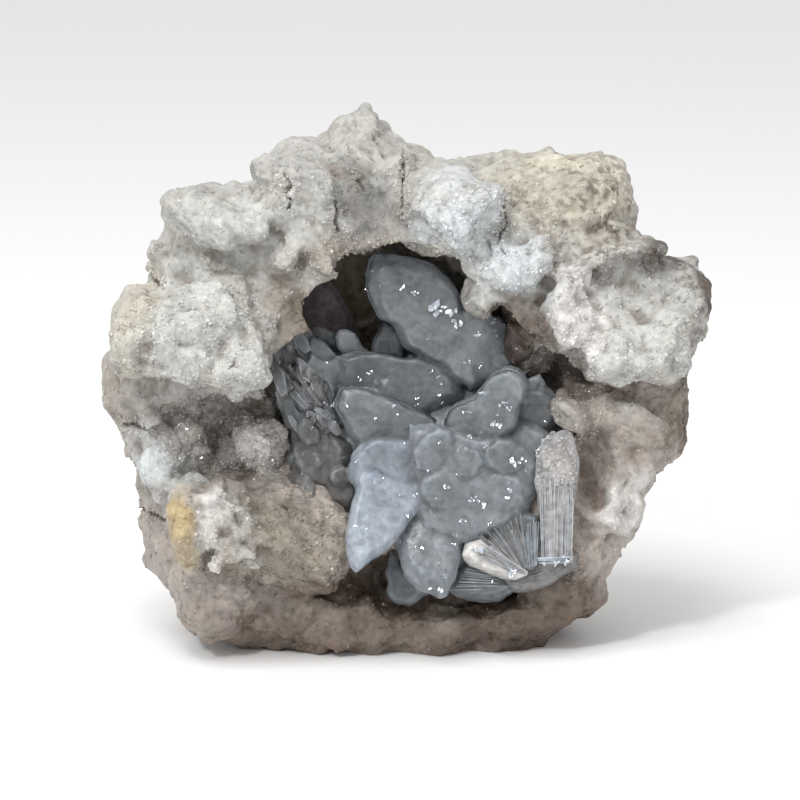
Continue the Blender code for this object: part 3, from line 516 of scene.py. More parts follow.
# Fine fibres and ribs, as seen from the front: name, the first one's ends, the last one's ends,
# number, depth at both ends and tint.
FIBRES = [
    ("fan_left", ((19.2, -31.8), (11.4, -25.4)), ((19.8, -31.4), (15.6, -24.6)), 22, (-23, -21.6), ASH),
    ("fan_mid", ((20, -31.4), (15.6, -24.8)), ((20.8, -31.2), (19.6, -22.4)), 26, (-22.6, -21.4), ASH),
    ("fan_right", ((20.8, -31.4), (19.8, -23.4)), ((22.2, -30.8), (22.6, -22.4)), 14, (-22.4, -21.2), SMOKE),
    ("fan_bright", ((17.8, -32), (12.4, -27.8)), ((19.8, -31.8), (14.8, -25.8)), 9, (-23.7, -22.8), FROST),
    ("block_ribs", ((20.2, -32.4), (11, -28.8)), ((20.8, -32), (12.6, -26.4)), 18, (-23.6, -23.2), WHITISH),
    ("column_ribs", ((23.2, -30.4), (22.8, -17)), ((28, -30.2), (28.4, -16.6)), 42, (-23.1, -22.9), WHITISH),
    ("column_low", ((22.4, -29.6), (28.6, -29.4)), ((22.6, -30.4), (28.6, -30.2)), 4, (-23.4, -23.2), PEARL),
    ("ledge_ribs", ((8.6, -34.8), (17.6, -34.6)), ((10.6, -31.4), (17, -32.6)), 9, (-20.4, -20.3), SMOKE),
    ("ledge_end", ((17.4, -34.4), (26.4, -32.6)), ((18.4, -32.8), (28.6, -30.2)), 8, (-21, -20.8), ASH),
]

# Small bright faces on the crystals, as seen from the front: how far right of the middle and how
# high above AIM they lie, and their size.
GLINTS = [
    (-5, 17.9, 0.5), (-3.6, 15.4, 0.5), (-0.2, 15.4, 0.7), (2.2, 14.1, 0.7), (5.6, 12.2, 1.5),
    (6.8, 11.3, 1), (7.9, 10.5, 1), (8.8, 9.3, 1), (9.4, 8.9, 0.7), (15.2, 9.3, 0.7),
    (12.5, 7.3, 0.6), (14.9, 16.3, 0.5), (5.1, 1.5, 0.45), (-4.9, 1, 0.45), (-6.9, -0.3, 0.5),
    (-18.7, 2.3, 0.5), (-12.1, -4.8, 1), (-10.9, -7.1, 0.5), (-9.2, -4.6, 0.4), (-4.6, -6.9, 0.45),
    (-1.1, -4.7, 0.5), (6.2, -2.8, 0.45), (2.9, -3.5, 0.4), (12.7, -2.2, 0.5), (16.3, -4.3, 0.8),
    (17.5, -5.1, 0.6), (10.3, -5.6, 0.5), (11.4, -5.8, 0.5), (15.2, -8, 1.1), (11.6, -9.4, 0.9),
    (13.8, -10.8, 0.5), (9, -15.8, 0.6), (7.7, -18.2, 0.7), (12.2, -19.9, 1), (13.2, -21.2, 0.9),
    (17.7, -19.5, 1), (2.2, -19.2, 0.7), (-0.3, -18.9, 0.45), (-3.4, -16.6, 0.5),
    (-2.6, -17.8, 0.4), (12.2, -27.9, 1.2), (18.8, -31.8, 0.9), (27.1, -29.9, 0.8),
    (25.9, -30.1, 0.7), (23.4, -30.1, 0.6), (3.4, -27.7, 0.5), (9.2, -23.4, 0.5),
    (-6.3, -24.6, 0.5), (-6.5, -28.4, 0.5), (6.1, -35.2, 0.7), (23, -10.6, 0.5),
    (19.4, -13.4, 1.3), (4.6, -35, 0.5), (8.4, -26, 0.5), (14.6, -23.6, 0.5),
]
TINY_GLINTS = 110  # strewn between them
GLINT_REACH = 0.45  # a glint lies on a crystal that is at most so far from its place
GLINT_FACETS = 5  # small faces in a glint
GLINT_LEAN = 0.025  # how much they lean away from the mirroring direction

FIBRE_WIDTHS = (0.12, 0.34)  # from the finest to the widest

# The column's sugary upper part as seen from the front: middle and half sizes of the place, and the
# number and size of its grains.
COLUMN_HEAD = ((25.5, -13.6), (3.1, 4.6))
HEAD_GRAINS = (520, 0.75)

# Crystals whose outline is a pale, frosted edge.
RIMMED = ("great_blade", "back_fin", "leaf_left", "leaf_right", "left_wing", "right_spear")

GAUGE_STEP = 0.34  # spacing of a blade's vertices
RING_CROWDING = 0.8  # below 1 the rings of vertices are closer at the rim
FACETS = 3  # facets that slant down to a crystal's sides
FACET_SLOPES = (0.3, 0.8)  # the gentlest and the steepest, as shares of the height
FACET_STARTS = (0.1, 0.5)  # how far from the middle they begin, as a share of the radius
THINNEST = 0.3  # what the facets leave of the height at least
WAVE_SIZE, WAVE_RISE = 4.2, 0.07  # slow waves on the faces, which rise by a share of the thickness
TERRACE_SIZE, TERRACE_RISE = 2.8, 0.07  # growth steps on the faces
TERRACES = 2.5  # how many steps lie between the highest and the middle level
# Side of a small blade's outline: share of the length, share of the half width.
BLADE_SIDE = [(0, 0.6), (0.3, 0.95), (0.6, 1), (0.86, 0.6), (1, 0.08)]
RIM_WIDTH = 0.3  # of the frosted rim of a crystal
FACE_EDGE = 0.42  # height of a crystal's edge as a share of its middle's
CRYSTAL_VOXEL = 0.26  # size of the voxels that weld crystals together
CRYSTAL_EASING = 5  # smoothing passes after the weld
SHARP_ANGLE = math.radians(32)  # edges that turn by more than this are sharp

# How surfaces look: size of the specks and the shares that they darken and lighten to; size and
# tilt of small facets with the depth of the bumps, or None; and the shader's values.
STONE_LOOK = ((0.8, 0.9, 1.08), (0.8, 0.55, 0.25), {"Roughness": 0.5, "Specular IOR Level": 0.45})
SUGAR_LOOK = ((0.5, 0.9, 1.1), None, {"Roughness": 0.35, "Specular IOR Level": 0.5})
DRUSE_LOOK = ((0.8, 0.9, 1.1), None, {"Transmission Weight": 0.1, "Roughness": 0.22, "IOR": 1.62})
CRYSTAL_SPECKS = (1.1, 0.82, 1.18)
CRYSTAL_FACETS = (1.2, 0.22, 0.4)
CRYSTAL_VALUES = {
    "IOR": 1.62,
    "Subsurface Radius": (0.8, 0.95, 1.0),
    "Subsurface Scale": 5 * MM,  # how deep light spreads below a crystal's surface
}

# Pieces that the crystals are made as: name, mass, transmission, roughness, gloss, share of the
# light that spreads below the surface, and the number of triangles where they fuse into one body.
CRYSTAL_PIECES = [
    ("celestite_blades", "clear", 0.42, 0.3, 0.15, 1, 190000),
    ("celestite_fringe", "fringe", 0.45, 0.3, 0.2, 1, None),
    ("celestite_frost", "frost", 0, 0.42, 0.3, 0, None),
    ("celestite_roots", "roots", 0.1, 0.3, 0.15, 0, None),
    ("celestite_facets", "glints", 0, 0.05, 0.8, 0, None),
]


def linked(name, data):
    """An object in the scene with a mesh, a camera or a light."""
    obj = bpy.data.objects.new(name, data)
    bpy.context.collection.objects.link(obj)
    return obj


def opened(mesh):
    """A bmesh of a mesh."""
    bm = bmesh.new()
    bm.from_mesh(mesh)
    return bm


def stored(bm, mesh):
    """Puts a bmesh into a mesh."""
    bm.to_mesh(mesh)
    bm.free()
    return mesh


def new_object(name, bm):
    """A mesh object from a bmesh in millimetres."""
    bm.transform(Matrix.Scale(MM, 4))
    return linked(name, stored(bm, bpy.data.meshes.new(name)))


def applied(obj):
    """The object's mesh with its modifiers in it."""
    bpy.context.view_layer.update()
    graph = bpy.context.evaluated_depsgraph_get()
    mesh = bpy.data.meshes.new_from_object(obj.evaluated_get(graph))
    obj.modifiers.clear()
    obj.data = mesh
    return mesh


def smoothed(points, times):
    """A closed outline with each point moved towards its neighbours, times over."""
    for _ in range(times):
        points = [
            (points[i - 1] + points[i] * 2 + points[(i + 1) % len(points)]) / 4
            for i in range(len(points))
        ]
    return points


def add_shell(bm):
    """The geode's body: rings of the outline, closed at the broken face and at the back."""
    outline = [Vector((x, z - SCALING_HEIGHT)) for x, z in OUTLINE]
    rings = []
    for depth, scale, times in RINGS:
        ring = []
        for point in smoothed(outline, times):
            place = (point.x * scale, depth, point.y * scale + SCALING_HEIGHT)
            ring.append(bm.verts.new(place))
        rings.append(ring)
    for front, back in zip(rings, rings[1:]):
        for i in range(len(OUTLINE)):
            bm.faces.new((front[i - 1], front[i], back[i], back[i - 1]))
    bm.faces.new(rings[0])
    bm.faces.new(reversed(rings[-1]))
    bmesh.ops.triangulate(bm, faces=[f for f in bm.faces if len(f.verts) > 4])
    bmesh.ops.recalc_face_normals(bm, faces=bm.faces)


def add_lump(bm, centre, half, turn, seed):
    """A blocky lump of broken stone: a rounded box with a few of its corners struck off flat."""
    rng = random.Random(seed)
    planes = []
    for _ in range(LUMP_CUTS):
        normal = Vector((rng.gauss(0, 1), rng.gauss(0, 1), rng.gauss(0, 1))).normalized()
        planes.append((normal, rng.uniform(*CUT_REACH)))
    made = bmesh.ops.create_icosphere(bm, subdivisions=3, radius=1.0)["verts"]
    place = Matrix.Translation(centre) @ Euler((0, math.radians(turn), 0)).to_matrix().to_4x4()
    for vert in made:
        size = sum(abs(c) ** BLOCKINESS for c in vert.co) ** (1 / BLOCKINESS)
        vert.co /= size
        for normal, reach in planes:
            over = vert.co.dot(normal) - reach
            if over > 0:
                vert.co -= normal * over
        vert.co = place @ Vector(c * h * LUMP_OVERSIZE for c, h in zip(vert.co, half))


def make_hollowed_shell():
    """The geode's body with the hollow and its pockets cut out."""
    bm = bmesh.new()
    add_shell(bm)
    shell = new_object("shell", bm)
    cutters = []
    for centre, half in HOLLOW:
        bm = bmesh.new()
        bmesh.ops.create_icosphere(bm, subdivisions=3, radius=1.0)
        bm.transform(Matrix.Translation(centre) @ Matrix.Diagonal((*half, 1)))
        cutter = new_object("hollow_cutter", bm)
        cut = shell.modifiers.new("hollow", "BOOLEAN")
        cut.operation = "DIFFERENCE"
        cut.object = cutter
        cutters.append(cutter)
    applied(shell)
    for cutter in cutters:
        bpy.data.objects.remove(cutter)
    return shell


def make_stone():
    """The shell and the lumps, welded into one skin."""
    shell = make_hollowed_shell()
    bm = opened(shell.data)
    bm.transform(Matrix.Scale(1 / MM, 4))
    for seed, (_, centre, half, turn) in enumerate(LUMPS):
        add_lump(bm, centre, half, turn, seed)
    bpy.data.objects.remove(shell)
    stone = new_object("welded_stone", bm)
    weld(stone, SKIN_VOXEL, EASING)
    return stone


def weld(obj, voxel, passes):
    """Welds what overlaps in an object, and smooths it in so many passes."""
    join = obj.modifiers.new("weld", "REMESH")
    join.mode = "VOXEL"
    join.voxel_size = voxel * MM
    ease = obj.modifiers.new("ease", "SMOOTH")
    ease.factor = 0.5
    ease.iterations = passes
    applied(obj)


def cell_tilt(place, size, seed):
    """How far a place is above or below the tilted facet of the noise cell that it lies in."""
    near, centres = noise.voronoi(place / size + Vector((seed, seed, seed)))
    centre = centres[0]
    tilt = noise.cell_vector(centre * 7.31)
    offset = place / size + Vector((seed, seed, seed)) - centre
    edge = min(1.0, (near[1] - near[0]) * 3)
    return tilt.dot(offset) * edge * 2


def dented(place):
    """A place on the broken face, pushed back where a dent lies."""
    front = min(1.0, max(0.0, (DENT_REACH - place.y) / DENT_REACH))
    for _, (x, z), (half_x, half_z), depth in DENTS:
        inside = 1 - ((place.x - x) / half_x) ** 2 - ((place.z - z) / half_z) ** 2
        if inside > 0:
            place = place + Vector((0, depth * front * inside * inside * (3 - 2 * inside), 0))
    return place


def roughen(mesh):
    """Dents and warps the welded lumps and chips their surface into tilted facets."""
    mesh.transform(Matrix.Scale(1 / MM, 4))
    moved = []
    for vert in mesh.vertices:
        place = dented(vert.co)
        depth = -CHIP_SINK
        for size, seed, height in CHIPS:
            depth += cell_tilt(place, size, seed) * height
        moving = vert.normal * depth
        for size, reach in WARPS:
            moving += noise.noise_vector(place / size) * reach
        moved.append(place + moving)
    for vert, place in zip(mesh.vertices, moved):
        vert.co = place * MM


def refine_cracks(mesh):
    """Gives the stone a finer mesh beside its cracks."""
    bm = opened(mesh)
    near = crack_depth(positions(mesh), 1.2) > 0
    edges = [e for e in bm.edges if near[e.verts[0].index] and near[e.verts[1].index]]
    bmesh.ops.subdivide_edges(bm, edges=edges, cuts=CRACK_CUTS)
    bmesh.ops.triangulate(bm, faces=[f for f in bm.faces if len(f.verts) > 3])
    stored(bm, mesh)


def cut_base(mesh):
    """Cuts the stone off flat at z = 0 and closes the cut."""
    bm = opened(mesh)
    cut = bmesh.ops.bisect_plane(
        bm,
        geom=bm.verts[:] + bm.edges[:] + bm.faces[:],
        plane_co=(0, 0, 0),
        plane_no=(0, 0, 1),
        clear_inner=True,
    )["geom_cut"]
    rim = [e for e in cut if isinstance(e, bmesh.types.BMEdge)]
    bmesh.ops.triangle_fill(bm, use_beauty=True, use_dissolve=False, edges=rim)
    bmesh.ops.triangulate(bm, faces=[f for f in bm.faces if len(f.verts) > 3])
    bmesh.ops.recalc_face_normals(bm, faces=bm.faces)
    stored(bm, mesh)


def parted(stone, name, face_side, triangles):
    """The broken face or the rind behind it as a piece of its own, with at most so many triangles.
    The border that the two share keeps its vertices."""
    bm = opened(stone.data)
    bm.transform(Matrix.Scale(1 / MM, 4))
    gone = [f for f in bm.faces if (f.calc_center_median().y > RIND_DEPTH) == face_side]
    bmesh.ops.delete(bm, geom=gone, context="FACES")
    rim = [v for v in bm.verts if v.is_boundary]
    fixed = {v.index for v in rim} | {e.other_vert(v).index for v in rim for e in v.link_edges}
    piece = new_object(name, bm)
    group = piece.vertex_groups.new(name="open")
    group.add([i for i in range(len(piece.data.vertices)) if i not in fixed], 1, "REPLACE")
    thin = piece.modifiers.new("thin", "DECIMATE")
    thin.ratio = min(1, triangles / sum(len(f.vertices) - 2 for f in piece.data.polygons))
    thin.vertex_group = group.name
    thin.use_collapse_triangulate = True
    applied(piece)
    return piece


def read(items, field):
    """A field of every item as rows of three numbers."""
    values = np.empty(len(items) * 3, np.float32)
    items.foreach_get(field, values)
    return values.reshape(-1, 3).astype(np.float64)


def positions(mesh):
    """The places of a mesh's vertices, in millimetres."""
    return read(mesh.vertices, "co") / MM


def vertex_normals(mesh):
    return read(mesh.vertex_normals, "vector")


def neighbour_mean(mesh, values, times):
    """Each vertex's value averaged with its neighbours', times over."""
    edges = np.empty(len(mesh.edges) * 2, np.int32)
    mesh.edges.foreach_get("vertices", edges)
    a, b = edges[0::2], edges[1::2]
    count = len(mesh.vertices)
    degree = np.bincount(a, minlength=count) + np.bincount(b, minlength=count) + 1.0
    for _ in range(times):
        total = values.copy()
        for axis in range(values.shape[1]):
            column = values[:, axis]
            total[:, axis] += np.bincount(a, column[b], count) + np.bincount(b, column[a], count)
        values = total / degree[:, None]
    return values


def step(low, high, value):
    """A smooth step from 0 at low to 1 at high."""
    t = np.clip((value - low) / (high - low), 0, 1)
    return t * t * (3 - 2 * t)


def linear(colour):
    """A colour as it looks, as linear light."""
    return tuple(((c + 0.055) / 1.055) ** 2.4 if c > 0.04045 else c / 12.92 for c in colour)


def hashed(cells, seed):
    """Three numbers from 0 to 1 for each whole-number cell."""
    h = cells.astype(np.int64)
    base = (h[:, 0] * 73856093) ^ (h[:, 1] * 19349663) ^ (h[:, 2] * 83492791) ^ (seed * 2654435761)
    out = []
    for k in range(3):
        v = (base + k * 1013904223) & 0xFFFFFFFF
        v = ((v ^ (v >> 16)) * 0x45D9F3B) & 0xFFFFFFFF
        v = ((v ^ (v >> 16)) * 0x45D9F3B) & 0xFFFFFFFF
        out.append(((v ^ (v >> 16)) & 0xFFFFFF) / 0xFFFFFF)
    return np.stack(out, axis=1)


def soft_noise(places, size, seed):
    """Smooth noise from -1 to 1 over cells of a size."""
    p = places / size
    cell = np.floor(p)
    f = p - cell
    f = f * f * (3 - 2 * f)
    total = np.zeros(len(p))
    for corner in range(8):
        offset = np.array([corner & 1, (corner >> 1) & 1, (corner >> 2) & 1])
        weight = np.prod(np.where(offset, f, 1 - f), axis=1)
        total += weight * hashed(cell + offset, seed)[:, 0]
    return total * 2 - 1


def waves(places, parts):
    """Smooth noise of several sizes, each with its seed and its share."""
    return sum(soft_noise(places, size, seed) * share for size, seed, share in parts)


def grains(places, size, seed):
    """Height of the angular grain at each place, from 0 to 1, and that grain's own number."""
    p = places / size
    cell = np.floor(p)
    best = np.full(len(p), -9.0)
    number = np.zeros(len(p))
    for corner in range(27):
        near = cell + np.array([corner % 3 - 1, corner // 3 % 3 - 1, corner // 9 - 1])
        point = hashed(near, seed)
        turn = hashed(near, seed + 50) * 2 - 1
        turn /= np.linalg.norm(turn, axis=1)[:, None]
        away = near + point - p
        along = np.sum(away * turn, axis=1)
        across = away - along[:, None] * turn
        reach = np.maximum(np.abs(along) * 1.15, np.abs(across).max(axis=1) * 1.25)
        height = 1 - reach + point[:, 1] * 0.25
        number = np.where(height > best, point[:, 0], number)
        best = np.maximum(best, height)
    return best, number


def crack_depth(places, margin=0.0):
    """How deep the cracks are at each place, with their borders moved out by a margin."""
    total = np.zeros(len(places))
    flat = places[:, [0, 2]]
    front = step(2, -4, places[:, 1])
    for points, half, depth in CRACKS:
        nearest = np.full(len(places), 99.0)
        for start, end in zip(points, points[1:]):
            start, end = np.array(start), np.array(end)
            along = end - start
            t = np.clip((flat - start) @ along / (along @ along), 0, 1)
            nearest = np.minimum(nearest, np.linalg.norm(flat - start - t[:, None] * along, axis=1))
        total = np.maximum(total, depth * step(half * 2 + margin, margin, nearest) * front)
    return total


def sugar(mesh):
    """Raises the stone's angular grains, and sinks the cracks."""
    places = positions(mesh)
    normals = vertex_normals(mesh)
    rise = -crack_depth(places)
    mean, variation = GRAIN_STRENGTH
    strength = mean + waves(places, variation)
    for size, seed, height in GRAINS:
        top, _ = grains(places, size, seed)
        rise += (top - GRAIN_LEVEL) * height * strength
    places = (places + normals * rise[:, None]) * MM
    mesh.vertices.foreach_set("co", places.astype(np.float32).ravel())
    mesh.update()


def hollowness(mesh, times):
    """How far each place lies below its surroundings, in millimetres."""
    places = positions(mesh)
    around = neighbour_mean(mesh, places, times)
    return np.sum((around - places) * vertex_normals(mesh), axis=1)


def blend(colour, tint, share):
    """Colours moved towards a tint by a share for each."""
    return colour + (np.array(linear(tint)) - colour) * np.clip(share, 0, 1)[:, None]


def wobbled(places, reach):
    """Places moved about by noise, so that a zone's border is ragged."""
    shift = [waves(places, [(5, seed, 1), (2, seed + 9, 0.6)]) for seed in (1, 2, 3)]
    return places + np.stack(shift, axis=1) * reach


def stone_colours(mesh):
    """The stone's colours: zones, some of them painted light and shade, paler towards the top, rind,
    stains, painted shade and dirt in the hollows, cracks, grains and specks.
    """
    places = positions(mesh)
    near = wobbled(places, 2.4)
    colour = evenly(GREY, len(places))
    # Paler towards the top: partly the stone's own colour, partly painted light from above.
    colour = blend(colour, PALE, step(40, 70, places[:, 2]) * 0.6)
    for _, centre, radii, tint, strength in ZONES:
        gap = np.linalg.norm((near - np.array(centre)) / np.array(radii), axis=1)
        colour = blend(colour, tint, strength * step(1.3, 0.5, gap))
    rind = step(4, 14, near[:, 1])
    colour = blend(colour, OCHRE, rind * 0.75)
    colour = blend(colour, BROWN, rind * step(0.1, 0.7, waves(places, RIND_WAVES)) * 0.7)
    colour = blend(colour, TAUPE, step(0.1, 0.9, waves(places, STAIN_WAVES)) * 0.45)
    # Painted shade and dirt: browner the deeper a place lies below its surroundings.
    for passes, shallow, deep, share in HOLLOW_SHADE_AND_DIRT:
        colour = blend(colour, BROWN, step(shallow, deep, hollowness(mesh, passes)) * share)
    colour = blend(colour, UMBER, crack_depth(places) * 0.5)
    light = 1 + waves(places, TONE_WAVES)
    for size, seed, share in GRAIN_TONES:
        light += (grains(places, size, seed)[1] - 0.5) * share
    colour = colour * light[:, None]
    speckled = np.zeros(len(places))
    for centre, radii in SPECKLED:
        gap = (near - np.array(centre)) / np.array(radii)
        speckled = np.maximum(speckled, np.exp(-np.sum(gap**2, axis=1)))
    pits = step(0.05, 0.4, waves(places, PIT_WAVES))
    colour = blend(colour, BROWN, speckled * pits * 0.9)
    return np.clip(colour, 0, 1)


def evenly(tint, count):
    """One colour for so many vertices."""
    return np.tile(np.array(linear(tint)), (count, 1))


def set_colours(mesh, name, colour):
    layer = mesh.color_attributes.new(name, "FLOAT_COLOR", "POINT")
    rgba = np.ones((len(colour), 4), np.float32)
    rgba[:, :3] = colour
    layer.data.foreach_set("color", rgba.ravel())


def new_material(name):
    material = bpy.data.materials.new(name)
    material.use_nodes = True
    tree = material.node_tree
    return material, tree, tree.nodes["Principled BSDF"]


def set_inputs(tree, target, inputs):
    """Gives a node's inputs their values, or links them where another node's output is given."""
    for name, value in inputs.items():
        if isinstance(value, bpy.types.NodeSocket):
            tree.links.new(value, target.inputs[name])
        else:
            target.inputs[name].default_value = value


def add_node(tree, kind, inputs, **settings):
    node = tree.nodes.new("ShaderNode" + kind)
    for name, value in settings.items():
        setattr(node, name, value)
    set_inputs(tree, node, inputs)
    return node


def vector_math(tree, operation, *values):
    node = add_node(tree, "VectorMath", dict(enumerate(values)), operation=operation)
    return node.outputs["Vector"]


def tilted_facets(tree, place, size, tilt):
    """A normal that is tilted at random in each cell of a size, as on small crystal faces."""
    cells = add_node(tree, "TexVoronoi", {"Vector": place, "Scale": 1 / (size * MM)})
    surface = add_node(tree, "NewGeometry", {})
    centred = vector_math(tree, "SUBTRACT", cells.outputs["Color"], (0.5, 0.5, 0.5))
    normal = surface.outputs["Normal"]
    return vector_math(
        tree, "NORMALIZE", vector_math(tree, "MULTIPLY_ADD", centred, (tilt, tilt, tilt), normal)
    )


def tint_and_specks(tree, place, size, low, high):
    """The piece's own colours, broken up by fine specks, and the specks themselves."""
    tint = add_node(tree, "Attribute", {}, attribute_name="tint")
    speck = add_node(tree, "TexNoise", {"Vector": place, "Scale": 1 / (size * MM), "Detail": 2})
    reach = {"From Min": 0.35, "From Max": 0.65, "To Min": low, "To Max": high}
    ramp = add_node(tree, "MapRange", {"Value": speck.outputs["Fac"], **reach})
    mixed = vector_math(tree, "MULTIPLY", tint.outputs["Color"], ramp.outputs["Result"])
    return mixed, speck.outputs["Fac"]


def grained_material(name, specks, facets, values):
    """A material in the piece's own colours with fine specks, and with tilted facets or none."""
    material, tree, shader = new_material(name)
    place = add_node(tree, "TexCoord", {}).outputs["Object"]
    colour, speck = tint_and_specks(tree, place, *specks)
    set_inputs(tree, shader, {"Base Color": colour, **values})
    if facets:
        size, tilt, depth = facets
        normal = tilted_facets(tree, place, size, tilt)
        relief = {"Strength": 0.5, "Distance": depth * MM, "Height": speck, "Normal": normal}
        bump = add_node(tree, "Bump", relief)
        set_inputs(tree, shader, {"Normal": bump.outputs["Normal"]})
    return material


def crystal_material(name, transmission, roughness, gloss, glow):
    values = {
        "Transmission Weight": transmission,
        "Roughness": roughness,
        "Specular IOR Level": gloss,
        "Subsurface Weight": glow,
        **CRYSTAL_VALUES,
    }
    return grained_material(name, CRYSTAL_SPECKS, CRYSTAL_FACETS, values)


def densified(points, spacing):
    """A closed outline with points at about an even spacing."""
    out = []
    for start, end in zip(points, points[1:] + points[:1]):
        count = max(1, round((end - start).length / spacing))
        out += [start.lerp(end, i / count) for i in range(count)]
    return out


def seen(right, above, back):
    """The place at a depth that appears so far right of the middle and above AIM."""
    aim, far = np.array(AIM) / MM, DISTANCE / MM
    along = (back - aim[1] + VIEW[1] * far) / (VIEW[1] * far + UP[1] * above)
    place = aim + (along - 1) * far * VIEW + along * (right * np.array((1, 0, 0)) + above * UP)
    return place - TO_MIDDLE


def toward_camera(places):
    """Places as the camera sees them: right of the middle, above it, and how far away."""
    away = places * MM - np.array(AIM)
    depth = away @ VIEW
    scale = DISTANCE / (DISTANCE + depth) / MM
    return away[:, 0] * scale, (away @ UP) * scale, depth


def seen_outline(corners, depth, lean):
    """Corners of an outline on a leaning plane, and the direction that the plane looks."""
    middle = np.mean(corners, axis=0)
    back = [depth + (a - middle[0]) * lean[0] + (b - middle[1]) * lean[1] for a, b in corners]
    outline = [Vector(seen(a, b, y)) for (a, b), y in zip(corners, back)]
    return outline, Vector((lean[0], -1, lean[1] + math.tan(ELEVATION))).normalized()


class Crust:
    """Vertices, faces and colours of many crystals, gathered into one mesh."""

    def __init__(self):
        self.places = []
        self.faces = []
        self.colours = []

    def add(self, places, faces, colour):
        start = sum(len(p) for p in self.places)
        self.places.append(np.array(places))
        self.colours.append(np.array(colour))
        self.faces += [tuple(i + start for i in face) for face in faces]

    def mesh(self, name):
        mesh = bpy.data.meshes.new(name)
        mesh.from_pydata((np.concatenate(self.places) * MM).tolist(), [], self.faces)
        set_colours(mesh, "tint", np.concatenate(self.colours))
        return linked(name, mesh)


def band(low, high, count):
    """Faces between two rings of vertices, which start at low and at high."""
    after = [(i + 1) % count for i in range(count)]
    return [(low + i, low + after[i], high + after[i], high + i) for i in range(count)]


def face_height(gauge, inset):
    """Height of a crystal's face where its outline is shrunk by gauge, as a share."""
    slope = np.clip((1 - gauge) / (1 - inset), 0, 1)
    return FACE_EDGE + (1 - FACE_EDGE) * slope


def facet_share(flat, middle, normal, radius, seed):
    """The share of a crystal's height that is left where facets slant down to its sides."""
    rng = np.random.default_rng(seed + 11)
    share = np.ones(len(flat))
    for _ in range(FACETS):
        way = np.cross(normal, rng.normal(size=3))
        along = (flat - middle) @ way / (np.linalg.norm(way) * radius)
        slope, start = rng.uniform(*FACET_SLOPES), rng.uniform(*FACET_STARTS)
        share = np.minimum(share, 1 - slope * (along - start))
    return np.clip(share, THINNEST, 1)


def add_body(crust, rim, middle, normal, thickness, tint, seed, inset):
    """A flat crystal with a bevelled rim, slanting facets and slight growth steps."""
    count = len(rim)
    radius = np.linalg.norm(rim - middle, axis=1).mean()
    rings = max(4, round(radius / GAUGE_STEP))
    gauges = np.linspace(1, 0, rings + 1)[:-1] ** RING_CROWDING
    flat = middle + (rim - middle)[None] * gauges[:, None, None]
    flat = np.concatenate([flat.reshape(-1, 3), middle[None]])
    gauge = np.concatenate([np.repeat(gauges, count), [0.0]])
    slant = facet_share(flat, middle, normal, radius, seed)
    height = thickness / 2 * face_height(gauge, inset) * slant
    places = []
    for side in (1, -1):
        wave = soft_noise(flat * (1, 1, side), WAVE_SIZE, seed + 7) * WAVE_RISE * thickness
        level = soft_noise(flat, TERRACE_SIZE, seed + 3 + side) * TERRACES
        steps = (np.floor(level) + step(0.2, 0.8, level - np.floor(level))) * TERRACE_RISE
        relief = (wave + steps) * step(1, inset, gauge)
        places.append(flat + normal * (side * np.maximum(0.02, height + relief))[:, None])
    back = rings * count + 1
    faces = []
    for base, turned in ((0, False), (back, True)):
        half = []
        for low in range(base, base + (rings - 1) * count, count):
            half += band(low, low + count, count)
        last, centre = base + (rings - 1) * count, base + rings * count
        half += [(last + i, last + (i + 1) % count, centre) for i in range(count)]
        faces += [face[::-1] for face in half] if turned else half
    faces += [(i, i + back, (i + 1) % count + back, (i + 1) % count) for i in range(count)]
    places = np.concatenate(places)
    rng = np.random.default_rng(seed)
    veil = sum(soft_noise(places, size, seed + size) * 0.14 for size in (1, 3, 6))
    colour = np.array(linear(tint)) * rng.uniform(0.92, 1.1) * (1 + veil)[:, None]
    # Painted highlight: paler towards the outline.
    colour = blend(colour, PEARL, 0.12 * step(0.8, 1.0, np.concatenate([gauge, gauge])))
    crust.add(places, faces, np.clip(colour, 0, 1))


def add_rim(crust, rim, middle, normal, thickness, tint, seed, inset):
    """The frosted bevel around a crystal, which fades in and out along its outline."""
    count = len(rim)
    radius = np.linalg.norm(rim - middle, axis=1)
    fade = np.clip(0.6 + soft_noise(rim, 3.4, seed + 9) * 1.1, 0.1, 1.2)
    width = np.minimum(0.25, RIM_WIDTH * fade / radius)
    lift = (fade - 0.3) * 0.03
    sections = []
    for share, over in ((-0.05, 0), (0.15, 1), (0.6, 1), (1.0, 1), (1.15, -6)):
        gauge = 1 - width * share
        height = thickness / 2 * face_height(np.minimum(gauge, 1), inset)
        sections.append((gauge, height * (share > 0) + lift * over))
    loop = sections + [(g, -h) for g, h in sections[:0:-1]]
    rows = [middle + (rim - middle) * g[:, None] + normal * h[:, None] for g, h in loop]
    faces = []
    for r in range(len(rows)):
        faces += band(r * count, (r + 1) % len(rows) * count, count)
    places = np.concatenate(rows)
    colour = evenly(tint, len(places)) * (1 + soft_noise(places, 1.6, seed) * 0.2)[:, None]
    crust.add(places, faces, colour)


def add_plate(crust, rims, outline, normal, thickness, tint, seed, inset):
    """A crystal with a slightly uneven outline, and a frosted rim if a mass is given for it."""
    rim = np.array(smoothed(densified(outline, GAUGE_STEP), 1))
    middle, normal = rim.mean(axis=0), np.array(normal)
    radius = np.linalg.norm(rim - middle, axis=1).mean()
    wander = 0.3 * soft_noise(rim, 2.2, seed) + 0.15 * soft_noise(rim, 0.8, seed + 2)
    rim = middle + (rim - middle) * (1 + wander / radius)[:, None]
    add_body(crust, rim, middle, normal, thickness, tint, seed, inset)
    if rims is not None:
        add_rim(rims, rim, middle, normal, thickness, RIM, seed, inset)


